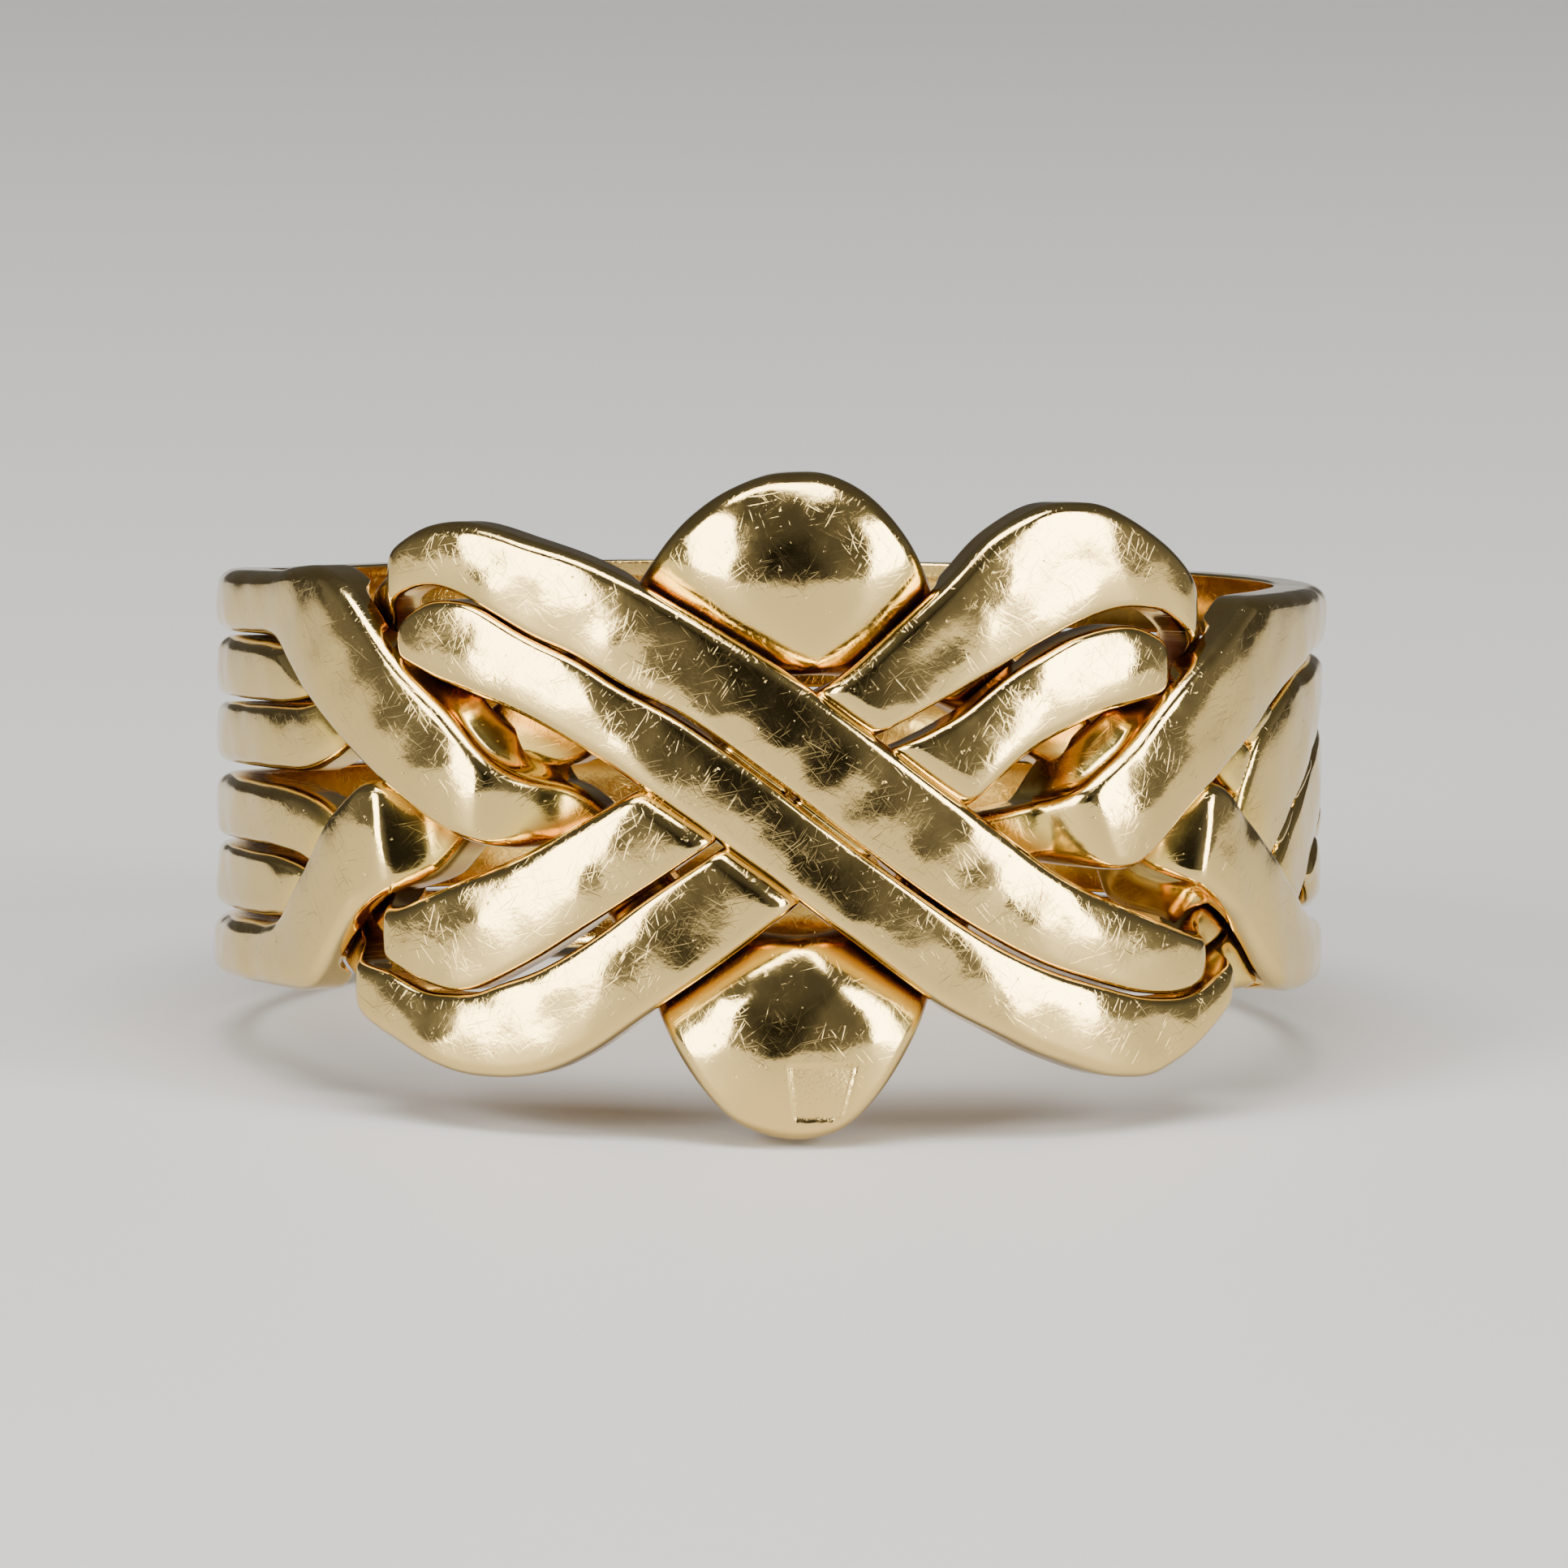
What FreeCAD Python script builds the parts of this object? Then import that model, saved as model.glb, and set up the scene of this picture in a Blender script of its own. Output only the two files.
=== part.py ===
import FreeCAD, Part
import bisect
import math
import os
from collections import namedtuple

# A puzzle ring: six closed bands of gold wire woven together, lying on its side, in millimetres.
#
# The ring is first drawn about its own axis, with the bore along Z and the middle of the weave
# at the front, -Y. Every band is one closed loop, described by how it runs round the finger:
# for an angle from the middle of the weave, the heights of its two edges and how far it is
# lifted above the plain shank. Where two bands cross, the one below is thinned from the outside
# and the one above from the bore side, so that the crossing is a half lap with a small gap.
# The whole ring then leans on the tip of its lower dome and on the back of its shank.

SIZES = [
    # alias, value, note
    ("bore_radius", 9.50, "inside radius of the ring, a US size 9"),
    ("shank_depth", 0.95, "thickness of the plain shank"),
    ("weave_rise", 0.85, "how far the top layer of the weave stands above the shank"),
    ("band_depth", 0.90, "thickness of one band inside the weave"),
    ("band_height", 1.21, "height of one band at the back of the shank"),
    ("band_pitch", 1.29, "distance between neighbouring bands at the back"),
    ("lap_gap", 0.11, "gap between the two bands of a crossing"),
    ("lap_margin", 0.26, "how far a lap runs past the edge of the other band"),
    ("ramp_length", 0.48, "length over which a band dips beside a crossing"),
    ("edge_width", 0.20, "width of the softened outer edges"),
    ("edge_drop", 0.12, "depth of the softened outer edges"),
    ("crown", 0.03, "how much the outside of a band is rounded"),
    ("dome_crown", 0.12, "how much the two domes are rounded"),
    ("dome_drop", 0.06, "how far the edges of the domes lie below the top layer"),
    ("dome_foot", 0.08, "width of the steep side of a dome beside the diagonals"),
    ("dome_hollow", 0.45, "how far the bore side of a dome lies above the bore"),
    ("weave_step", 1.6, "degrees between two sections in the weave"),
    ("shank_step", 8.0, "degrees between two sections in the plain shank"),
    ("weave_left", -70.0, "degrees where the weave begins on the left"),
    ("weave_right", 102.0, "degrees where it ends on the right"),
]

document = FreeCAD.newDocument("PuzzleRing")
sheet = document.addObject("Spreadsheet::Sheet", "Sizes")
for row, (alias, value, note) in enumerate(SIZES, start=1):
    sheet.set(f"A{row}", note)
    sheet.set(f"B{row}", str(value))
    sheet.setAlias(f"B{row}", alias)
document.recompute()

BORE = sheet.bore_radius
SHANK = BORE + sheet.shank_depth
TOP = SHANK + sheet.weave_rise

# angle is in degrees from the middle of the weave, positive to the right, low and high are the
# heights of the band's edges, and lift is 0 in the shank and 1 in the top layer of the weave.
Station = namedtuple("Station", "angle low high lift")


def at_back(place):
    """Edges of a band at the back of the shank, place 0 at the top to 5 at the bottom."""
    middle = (2.5 - place) * sheet.band_pitch
    return middle - sheet.band_height / 2, middle + sheet.band_height / 2


def loop(place, rows):
    """All stations of a band: the back of the shank with the rows of the weave between."""
    low, high = at_back(place)
    before = [Station(angle, low, high, 0.0) for angle in (-180, -120)]
    after = [Station(angle, low, high, 0.0) for angle in (102, 140)]
    return before + [Station(*row) for row in rows] + after


# The first band forms a V: it comes down from the top edge, carries the lower dome at the
# front and goes up to the top edge again.
FIRST = loop(0, [
    (-95, 2.75, 3.95, 0), (-70, 2.86, 4.07, 0), (-66, 2.83, 4.10, 0.06),
    (-61, 2.42, 4.20, 0.24), (-55, 1.73, 4.28, 0.47), (-49.6, 1.14, 4.05, 0.70),
    (-46, 0.70, 3.53, 0.80), (-40.6, 0.09, 2.58, 0.94), (-33.5, -0.60, 1.50, 1),
    (-31.2, -0.72, 1.02, 0.97), (-28.5, -0.78, 0.64, 0.60), (-26, -0.72, 0.50, 0.15),
    (-24, -0.95, 0.47, 0), (-21.3, -1.45, 0.24, 0), (-16.4, -2.90, -0.55, 0),
    (-9, -5.10, -1.90, 0), (-5.5, -5.74, -2.20, 0), (0, -6.02, -2.30, 0),
    (4.2, -5.85, -2.20, 0), (7.6, -5.26, -1.90, 0), (10.8, -4.36, -1.30, 0),
    (14.5, -3.20, -0.70, 0), (18, -2.20, -0.10, 0), (22.5, -1.35, 0.05, 0),
    (25, -0.95, 0.15, 0.05), (27, -1.00, 0.28, 0.48), (29, -1.05, 0.60, 0.93),
    (30.2, -1.08, 0.77, 1), (33.2, -1.12, 1.19, 1), (37.3, -0.70, 1.94, 0.96),
    (42.2, 0.05, 2.67, 0.88), (49.9, 0.95, 3.50, 0.65), (53.3, 1.25, 3.80, 0.50),
    (59.6, 1.85, 3.82, 0.30), (72.6, 2.46, 3.82, 0.03), (80, 2.58, 3.82, 0)])

# The sixth band is the V upside down: it comes up from the bottom edge and carries the
# upper dome.
SIXTH = loop(5, [
    (-70, -3.69, -2.50, 0), (-64, -3.69, -2.38, 0.10), (-61, -3.69, -2.05, 0.20),
    (-55.9, -3.62, -1.17, 0.38), (-52.7, -3.25, -0.50, 0.50), (-48.8, -2.45, 0.05, 0.65),
    (-45.8, -1.95, 0.36, 0.72), (-43.6, -1.75, 0.40, 0.70), (-41.5, -1.60, 0.45, 0.30),
    (-39.5, -1.45, 0.65, 0), (-37, -1.05, 1.10, 0), (-34, -0.40, 1.60, 0),
    (-31, 0.40, 2.00, 0), (-28.5, 0.80, 2.40, 0), (-24.6, 0.72, 2.90, 0),
    (-20, 1.10, 3.50, 0), (-16.1, 2.00, 4.21, 0), (-12.6, 2.25, 5.07, 0),
    (-9.9, 2.31, 5.54, 0), (-6.9, 2.36, 5.90, 0), (-2.1, 2.46, 6.19, 0), (1.7, 2.50, 6.21, 0),
    (4.4, 2.46, 6.05, 0), (6.7, 2.36, 5.80, 0), (9.8, 2.24, 5.18, 0),
    (11.4, 2.16, 4.74, 0), (13.4, 2.04, 4.05, 0),
    (17, 1.75, 3.50, 0), (21, 1.30, 3.00, 0), (25, 0.95, 2.50, 0),
    (28.5, 0.70, 2.10, 0), (31, 0.25, 1.75, 0), (34, -0.35, 1.40, 0),
    (37, -0.95, 1.05, 0), (40, -1.25, 0.60, 0), (42.5, -1.42, 0.48, 0.30),
    (44.6, -1.57, 0.48, 0.70), (47.7, -1.90, 0.35, 0.68), (52, -2.42, -0.19, 0.52),
    (57.6, -3.31, -0.90, 0.47), (61.2, -3.62, -1.36, 0.38), (70, -3.70, -2.12, 0.17),
    (75.7, -3.70, -2.32, 0.05), (85, -3.74, -2.45, 0)])

# The second and third bands run side by side from the upper left down to the lower right.
SECOND = loop(1, [
    (-95, 1.52, 2.66, 0), (-80, 1.62, 2.77, 0), (-66, 1.63, 2.76, 0),
    (-61, 1.70, 2.85, 0), (-55, 2.00, 3.20, 0), (-47, 2.90, 4.02, 0),
    (-45, 3.15, 4.32, 0.05), (-43.2, 3.42, 4.52, 0.45), (-41.3, 3.78, 4.73, 0.93),
    (-37, 4.03, 5.15, 1), (-34, 3.90, 5.22, 1), (-25.4, 3.10, 4.87, 1),
    (-20.7, 2.73, 4.60, 1), (-17.4, 2.34, 4.33, 1), (-11, 1.76, 3.68, 1),
    (-1.7, 0.48, 2.62, 1), (17.5, -2.18, -0.07, 1), (26.9, -2.99, -1.27, 1),
    (38, -3.44, -2.12, 1), (41, -3.40, -2.30, 0.98), (43.2, -3.25, -2.42, 0.90),
    (44.8, -3.05, -2.35, 0.45), (46.3, -2.90, -2.10, 0), (50, -2.60, -1.20, 0),
    (56.5, -1.98, 0.85, 0), (59.6, -1.47, 1.42, 0), (71, 0.12, 2.26, 0),
    (80, 0.95, 2.46, 0), (90, 1.25, 2.52, 0)])
THIRD = loop(2, [
    (-80, 0.35, 1.52, 0), (-61, 0.38, 1.60, 0), (-55, 0.65, 1.85, 0),
    (-50, 1.15, 2.35, 0), (-46, 1.70, 2.75, 0), (-43.2, 2.32, 3.00, 0.05),
    (-41.8, 2.62, 3.15, 0.45), (-40.6, 2.70, 3.28, 0.92), (-39.6, 2.62, 3.48, 1),
    (-36.3, 2.29, 3.77, 1), (-33.5, 2.14, 3.76, 1), (-26.8, 1.68, 3.18, 1),
    (-20.6, 1.08, 2.66, 1), (-17.3, 0.70, 2.27, 1), (-11.4, -0.06, 1.69, 1),
    (4.4, -2.25, -0.52, 1), (13.7, -3.53, -1.80, 1), (18.9, -4.02, -2.42, 1),
    (24.4, -4.50, -2.90, 1), (33, -4.94, -3.37, 1), (36.2, -4.96, -3.49, 1),
    (39.5, -4.74, -3.51, 1), (42, -4.46, -3.44, 1), (46.6, -3.75, -2.97, 0.98),
    (48.2, -3.45, -2.82, 0.60), (49.6, -3.45, -2.72, 0.15), (51.5, -3.50, -2.56, 0),
    (56.5, -3.55, -2.09, 0), (59.6, -3.45, -1.60, 0), (62.3, -3.15, -1.19, 0),
    (71, -1.98, 0.01, 0), (80, -0.95, 0.87, 0), (90, -0.15, 1.17, 0)])

# The fourth and fifth bands run side by side from the lower left up to the upper right.
FOURTH = loop(3, [
    (-80, -1.06, 0.12, 0), (-66, -1.07, 0.10, 0), (-61, -1.15, 0.02, 0),
    (-56, -1.45, -0.20, 0), (-47, -2.45, -1.20, 0), (-44.6, -2.75, -1.60, 0.02),
    (-43.2, -2.85, -1.85, 0.50), (-41.8, -2.92, -1.98, 0.95), (-37, -3.28, -1.66, 1),
    (-33.6, -3.38, -1.40, 1), (-26.6, -2.85, -0.83, 1), (-20, -2.10, -0.12, 1),
    (-3, 0.12, 1.75, 1), (3.5, 1.00, 2.45, 1), (9, 1.60, 3.40, 1), (14.8, 2.20, 4.42, 1),
    (18.2, 2.56, 5.08, 1), (25.2, 3.28, 5.66, 1), (28.9, 3.56, 5.66, 1),
    (32.9, 3.72, 5.40, 1), (37, 3.66, 4.97, 1), (39.6, 3.38, 4.60, 0.98),
    (42, 3.10, 4.20, 0.75), (44, 2.85, 3.85, 0.25), (46, 2.52, 3.50, 0),
    (50, 1.83, 3.05, 0), (58, 0.87, 2.10, 0), (61, 0.47, 1.75, 0),
    (75, -0.47, 0.72, 0), (90, -1.13, 0.08, 0)])
FIFTH = loop(4, [
    (-80, -2.42, -1.20, 0), (-66, -2.42, -1.22, 0), (-61, -2.50, -1.32, 0),
    (-56, -2.85, -1.70, 0), (-51, -3.25, -2.20, 0), (-48.5, -3.55, -2.55, 0.05),
    (-46.8, -3.75, -2.80, 0.50), (-45, -3.98, -2.98, 0.95), (-41.3, -4.33, -3.20, 1),
    (-36.2, -4.76, -3.58, 1), (-32.2, -4.95, -3.58, 1), (-29, -4.97, -3.38, 1),
    (-25.2, -4.88, -3.02, 1), (-20.4, -4.51, -2.46, 1), (-14.6, -3.76, -1.72, 1),
    (-9, -3.02, -1.00, 1), (3.5, -1.20, 0.60, 1), (9, -0.60, 1.20, 1),
    (14.9, -0.10, 1.76, 1), (20.1, 0.75, 2.52, 1), (23.6, 1.22, 2.90, 1),
    (27.2, 1.53, 3.22, 1), (31, 1.83, 3.38, 1), (33, 1.90, 3.40, 1),
    (37.3, 2.10, 3.14, 0.95), (39, 2.20, 2.92, 0.50), (40.6, 2.00, 2.75, 0.05),
    (43, 1.62, 2.60, 0), (46, 1.15, 2.20, 0), (50, 0.50, 1.76, 0),
    (58, -0.42, 0.80, 0), (61, -0.74, 0.40, 0), (70, -1.42, -0.30, 0),
    (75, -1.72, -0.54, 0), (80, -2.05, -0.81, 0), (90, -2.38, -1.20, 0)])

BANDS = {
    "first_band": FIRST, "second_band": SECOND, "third_band": THIRD,
    "fourth_band": FOURTH, "fifth_band": FIFTH, "sixth_band": SIXTH}

# The domes stand on the first and sixth band between the diagonals, at the full height of the
# weave. low and high are the heights of a dome's edges, and size is 1 where it is full.
Slice = namedtuple("Slice", "angle low high size")
LOWER_DOME = [Slice(*row) for row in [
    (-18, -4.20, -4.00, 0), (-12.6, -4.12, -3.98, 0), (-11.6, -4.40, -3.84, 0.45),
    (-10.6, -4.68, -3.58, 0.9), (-9, -5.10, -3.22, 1), (-5.5, -5.74, -2.76, 1),
    (-2, -5.98, -2.40, 1), (2, -5.98, -2.40, 1), (5, -5.75, -2.60, 1), (8, -5.08, -3.00, 1),
    (10.1, -4.48, -3.42, 0.9), (11.1, -4.25, -3.78, 0.45), (12.1, -4.10, -3.86, 0),
    (17, -4.20, -4.00, 0)]]
UPPER_DOME = [Slice(*row) for row in [
    (-18.5, 4.70, 4.90, 0), (-14.6, 4.55, 4.70, 0), (-13.6, 4.50, 4.86, 0.45),
    (-12.4, 4.18, 5.16, 0.9), (-9.9, 3.78, 5.61, 1), (-5.9, 3.36, 6.06, 1),
    (-2.1, 2.92, 6.20, 1), (0.6, 2.80, 6.21, 1), (4.4, 3.02, 6.05, 1), (7.8, 3.46, 5.55, 1),
    (9.8, 3.94, 5.10, 0.9), (10.9, 4.28, 4.80, 0.45), (12, 4.40, 4.60, 0),
    (16.5, 4.70, 4.90, 0)]]
DOMES = {"first_band": LOWER_DOME, "sixth_band": UPPER_DOME}

# Which band lies over which, and between which angles. The depths say how far from the bore
# the two are parted: in the weave each has a layer of its own, and in the shank they share its
# thickness. ramp is the length over which the lower band comes up again beside the upper one.
Crossing = namedtuple("Crossing", "over under start end start_depth end_depth ramp")
WEAVE = 0.915
LEAN = 0.58
SHARED = 0.43
WIDE = sheet.ramp_length
TIGHT = 0.6 * WIDE
CROSSINGS = [Crossing(*row) for row in [
    ("first_band", "second_band", -68, -42, SHARED, WEAVE, WIDE),
    ("first_band", "third_band", -62, -40, SHARED, WEAVE, WIDE),
    ("first_band", "sixth_band", -48, -27.8, WEAVE, WEAVE, WIDE),
    ("sixth_band", "fifth_band", -68, -44, SHARED, WEAVE, WIDE),
    ("sixth_band", "fourth_band", -62, -42, SHARED, WEAVE, WIDE),
    ("fourth_band", "first_band", -27, -4, WEAVE, WEAVE, WIDE),
    ("fifth_band", "first_band", -24, 6, WEAVE, WEAVE, WIDE),
    ("third_band", "first_band", 2, 22, WEAVE, WEAVE, WIDE),
    ("second_band", "first_band", 8, 30, WEAVE, WEAVE, WIDE),
    ("third_band", "sixth_band", -33, -10, WEAVE, WEAVE, WIDE),
    ("second_band", "sixth_band", -27, 4, WEAVE, WEAVE, WIDE),
    ("fourth_band", "sixth_band", -2, 24, WEAVE, WEAVE, WIDE),
    ("fifth_band", "sixth_band", 8, 33, WEAVE, WEAVE, WIDE),
    ("second_band", "fourth_band", -14, 20, WEAVE, WEAVE, WIDE),
    ("third_band", "fourth_band", -24, 10, WEAVE, WEAVE, WIDE),
    ("second_band", "fifth_band", -4, 30, WEAVE, WEAVE, WIDE),
    ("third_band", "fifth_band", -14, 20, WEAVE, WEAVE, WIDE),
    ("first_band", "sixth_band", 26.5, 50, WEAVE, WEAVE, WIDE),
    ("first_band", "fourth_band", 40, 62, WEAVE, SHARED, WIDE),
    ("first_band", "fifth_band", 37, 62, WEAVE, SHARED, WIDE),
    ("sixth_band", "second_band", 44, 76, WEAVE, LEAN, TIGHT),
    ("sixth_band", "third_band", 47, 76, WEAVE, LEAN, TIGHT),
    ("second_band", "fourth_band", 48, 96, SHARED, SHARED, TIGHT),
    ("second_band", "fifth_band", 44, 84, SHARED, SHARED, TIGHT),
    ("third_band", "fourth_band", 54, 102, SHARED, SHARED, TIGHT),
    ("third_band", "fifth_band", 50, 102, SHARED, SHARED, TIGHT)]]


class Curve:
    """A smooth closed curve through one column of a band's stations, without overshoot."""

    def __init__(self, stations, column):
        turns = (-360, 0, 360)
        self.angles = [station.angle + turn for turn in turns for station in stations]
        self.values = [getattr(station, column) for _ in turns for station in stations]
        steps = [b - a for a, b in zip(self.angles, self.angles[1:])]
        rises = [(b - a) / step for a, b, step in zip(self.values, self.values[1:], steps)]
        self.slopes = [0.0]
        for before, after in zip(rises, rises[1:]):
            same_way = before * after > 0
            self.slopes.append(2 * before * after / (before + after) if same_way else 0.0)
        self.slopes.append(0.0)

    def at(self, angle):
        i = bisect.bisect_right(self.angles, angle) - 1
        step = self.angles[i + 1] - self.angles[i]
        t = (angle - self.angles[i]) / step
        return ((1 + 2 * t) * (1 - t) ** 2 * self.values[i]
                + t * (1 - t) ** 2 * step * self.slopes[i]
                + t * t * (3 - 2 * t) * self.values[i + 1]
                - t * t * (1 - t) * step * self.slopes[i + 1])

    def slope(self, angle):
        """Rise over run on the outside of the shank."""
        half = 0.5
        run = math.radians(2 * half) * TOP
        return (self.at(angle + half) - self.at(angle - half)) / run


class Band:
    """One closed loop: its edges, and how deep it reaches at any point of them."""

    def __init__(self, name, stations):
        self.name = name
        self.low = Curve(stations, "low")
        self.high = Curve(stations, "high")
        self.lift = Curve(stations, "lift")
        self.dome = DOMES.get(name)

    def dome_at(self, angle):
        """The dome's edges and size at an angle, or None beside it."""
        if not self.dome or not self.dome[0].angle < angle < self.dome[-1].angle:
            return None
        place = bisect.bisect_right([one.angle for one in self.dome], angle)
        before, after = self.dome[place - 1], self.dome[place]
        t = (angle - before.angle) / (after.angle - before.angle)
        return Slice(angle, *(a + (b - a) * t for a, b in zip(before[1:], after[1:])))

    def distance(self, angle, height):
        """How far a point of the cylinder lies outside this band, 0 where it is covered."""
        below = (self.low.at(angle) - height) / math.hypot(1, self.low.slope(angle))
        above = (height - self.high.at(angle)) / math.hypot(1, self.high.slope(angle))
        return max(below, above, 0.0)

    def radii(self, angle, height):
        """Inside and outside radius of this band at a point of it."""
        free = SHANK + sheet.weave_rise * self.lift.at(angle)
        outer = free
        for crossing in CROSSINGS:
            if crossing.under == self.name and crossing.start <= angle <= crossing.end:
                blend = clearing(bands[crossing.over], angle, height, crossing.ramp)
                cap = parting(crossing, angle) - sheet.lap_gap / 2
                outer = min(outer, cap + (free - cap) * blend)
        plain = max(BORE, outer - sheet.band_depth)
        inner = plain
        for crossing in CROSSINGS:
            if crossing.over == self.name and crossing.start <= angle <= crossing.end:
                blend = clearing(bands[crossing.under], angle, height, 0.8 * crossing.ramp)
                floor = parting(crossing, angle) + sheet.lap_gap / 2
                inner = max(inner, floor + (plain - floor) * blend)
        return inner, outer


def clearing(other, angle, height, ramp):
    """0 over the other band and a little past its edge, rising smoothly to 1 beyond."""
    t = (other.distance(angle, height) - sheet.lap_margin) / ramp
    t = min(max(t, 0.0), 1.0)
    return t * t * (3 - 2 * t)


def parting(crossing, angle):
    """Radius of the surface that parts the two bands of a crossing."""
    t = (angle - crossing.start) / (crossing.end - crossing.start)
    return BORE + crossing.start_depth + (crossing.end_depth - crossing.start_depth) * t


def on_ring(angle, radius, height):
    """A point in space from its angle, radius and height. The front is at -Y."""
    turn = math.radians(angle)
    return FreeCAD.Vector(radius * math.sin(turn), -radius * math.cos(turn), height)


def section(band, angle):
    """The corners of a band's cross section, round from the lower edge of the bore side."""
    low, high = band.low.at(angle), band.high.at(angle)
    width = high - low
    edge = min(sheet.edge_width, 0.2 * width)
    inner, outer = {}, {}
    inside = [low + share * width for share in (0.3, 0.5, 0.7)]
    heights = [low, low + edge, *inside, high - edge, high]
    dome = band.dome_at(angle)
    if dome:
        top, foot = dome.high - 0.5 * edge, dome.high + sheet.dome_foot
        if dome.high > 0:
            top, foot = dome.low + 0.5 * edge, dome.low - sheet.dome_foot
        lines = sorted([top, foot, (dome.low + dome.high) / 2])
        for place, line in enumerate(lines):
            lowest, highest = low + (1.3 + 0.4 * place) * edge, high - (2.1 - 0.4 * place) * edge
            heights[2 + place] = min(max(line, lowest), highest)
    for height in heights:
        inner[height], outer[height] = band.radii(angle, height)
        if dome and dome.low - 0.01 <= height <= dome.high + 0.01:
            outer[height] += (TOP - sheet.dome_drop - outer[height]) * dome.size
            inner[height] += sheet.dome_hollow * dome.size
    for height in (heights[0], heights[-1]):
        outer[height] -= min(sheet.edge_drop, 0.3 * (outer[height] - inner[height]))
    bulge = sheet.dome_crown * dome.size if dome else sheet.crown
    crest = 3 if not dome else 2 if dome.high < 0 else 4
    outer[heights[crest]] += bulge
    outline = [(height, outer[height]) for height in heights]
    outline += [(height, inner[height]) for height in reversed([low] + heights[2:5] + [high])]
    return [on_ring(angle, radius, height) for height, radius in outline]


def section_angles():
    """Angles of the sections of one loop, close together in the weave."""
    angles = []
    angle = -180.0
    while angle < 180.0 - 0.5 * sheet.shank_step:
        angles.append(angle)
        in_weave = sheet.weave_left <= angle < sheet.weave_right
        step = sheet.weave_step if in_weave else sheet.shank_step
        if angle < sheet.weave_left < angle + step:
            step = sheet.weave_left - angle
        angle += step
    return angles


def wall(rail, following):
    """The two halves of the smooth wall between two neighbouring corners of the section."""
    count = len(rail)
    surface = Part.BSplineSurface()
    surface.buildFromPolesMultsKnots(
        [rail, following], [2, 2], [1] * (count + 1), [0.0, 1.0], [float(i) for i in range(count + 1)],
        False, True, 1, 2)
    middle = float(count // 2)
    return [surface.toShape(0.0, 1.0, 0.0, middle), surface.toShape(0.0, 1.0, middle, float(count))]


def band_solid(band):
    """A closed band: its walls run from each corner of the section to the next."""
    sections = [section(band, angle) for angle in section_angles()]
    rails = [list(corner) for corner in zip(*sections)]
    walls = []
    for rail, following in zip(rails, rails[1:] + rails[:1]):
        walls += wall(rail, following)
    shell = Part.makeShell(walls)
    shell.sewShape()
    return Part.Solid(shell)


bands = {name: Band(name, stations) for name, stations in BANDS.items()}


def lean():
    """Degrees by which the ring tips back when its lower dome and the back of its shank rest."""
    tip = min(station.low for station in FIRST)
    back = at_back(5)[0]
    reach = BORE + sheet.dome_hollow + SHANK - sheet.edge_drop
    return math.degrees(math.atan2(back - tip, reach))


# Build, place and save the bands.
tilt = FreeCAD.Rotation(FreeCAD.Vector(1, 0, 0), -lean())
parts = []
for name, band in bands.items():
    piece = document.addObject("Part::Feature", name)
    piece.Label = name
    piece.Shape = band_solid(band)
    piece.Placement = FreeCAD.Placement(FreeCAD.Vector(0, 0, 0), tilt)
    parts.append(piece)
points = [point for piece in parts for point in piece.Shape.tessellate(0.02)[0]]
floor = min(point.z for point in points)
middle = (min(point.y for point in points) + max(point.y for point in points)) / 2
centre = FreeCAD.Vector(0, -middle, -floor)
for piece in parts:
    piece.Placement = FreeCAD.Placement(centre, tilt)
document.recompute()

for item in document.Objects:
    if {"Invalid", "Error"} & set(item.State):
        raise RuntimeError(f"{item.Label} did not compute: {item.State}")
for piece in parts:
    if piece.Shape.isNull() or not piece.Shape.isValid():
        raise RuntimeError(f"{piece.Label} is not a valid solid")

os.makedirs("parts", exist_ok=True)
for piece in parts:
    piece.Shape.exportStep(f"parts/{piece.Label}.step")
    box = piece.Shape.BoundBox
    print(f"{piece.Label}: {piece.Shape.Volume:.2f} mm3,",
          f"{box.XLength:.2f} x {box.YLength:.2f} x {box.ZLength:.2f} mm")
print(f"leans back by {lean():.3f} degrees,",
      f"centre of the bore at {centre.x:.3f} {centre.y:.3f} {centre.z:.3f}")
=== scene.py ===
# %% [markdown]
# # A puzzle ring
# A puzzle ring is a set of loose gold bands that only make a finger ring when they are put
# together in the right way: at the front each of them bends up and down, and they weave into a
# knot between two domes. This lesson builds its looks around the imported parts. Blender's ring
# has the same bands, in the same places, with rounded and worn edges and a polished surface.

import math
from collections import namedtuple

import bpy
import numpy as np
from mathutils import Matrix, Vector


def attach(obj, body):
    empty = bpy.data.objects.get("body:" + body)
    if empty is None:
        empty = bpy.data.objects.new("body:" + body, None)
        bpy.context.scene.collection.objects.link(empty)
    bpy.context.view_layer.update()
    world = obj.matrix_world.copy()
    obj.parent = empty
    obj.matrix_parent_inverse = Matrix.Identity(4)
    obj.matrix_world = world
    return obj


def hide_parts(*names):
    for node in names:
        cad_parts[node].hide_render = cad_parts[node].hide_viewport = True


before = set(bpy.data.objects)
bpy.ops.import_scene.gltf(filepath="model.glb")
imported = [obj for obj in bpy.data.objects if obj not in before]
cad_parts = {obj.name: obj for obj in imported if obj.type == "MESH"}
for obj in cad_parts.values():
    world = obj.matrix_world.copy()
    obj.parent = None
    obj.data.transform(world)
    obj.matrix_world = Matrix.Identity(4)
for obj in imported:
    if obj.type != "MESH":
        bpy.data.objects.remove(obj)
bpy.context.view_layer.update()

# %% [markdown]
# ## The sizes
# Everything on the ring is measured in millimetres about its own axis: an angle from the middle
# of the weave, a height and a radius. Blender works in metres, so the finished points are scaled
# once at the end. The ring leans back a little, because it lies on the tip of its lower dome and
# on the back of its shank.

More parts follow.
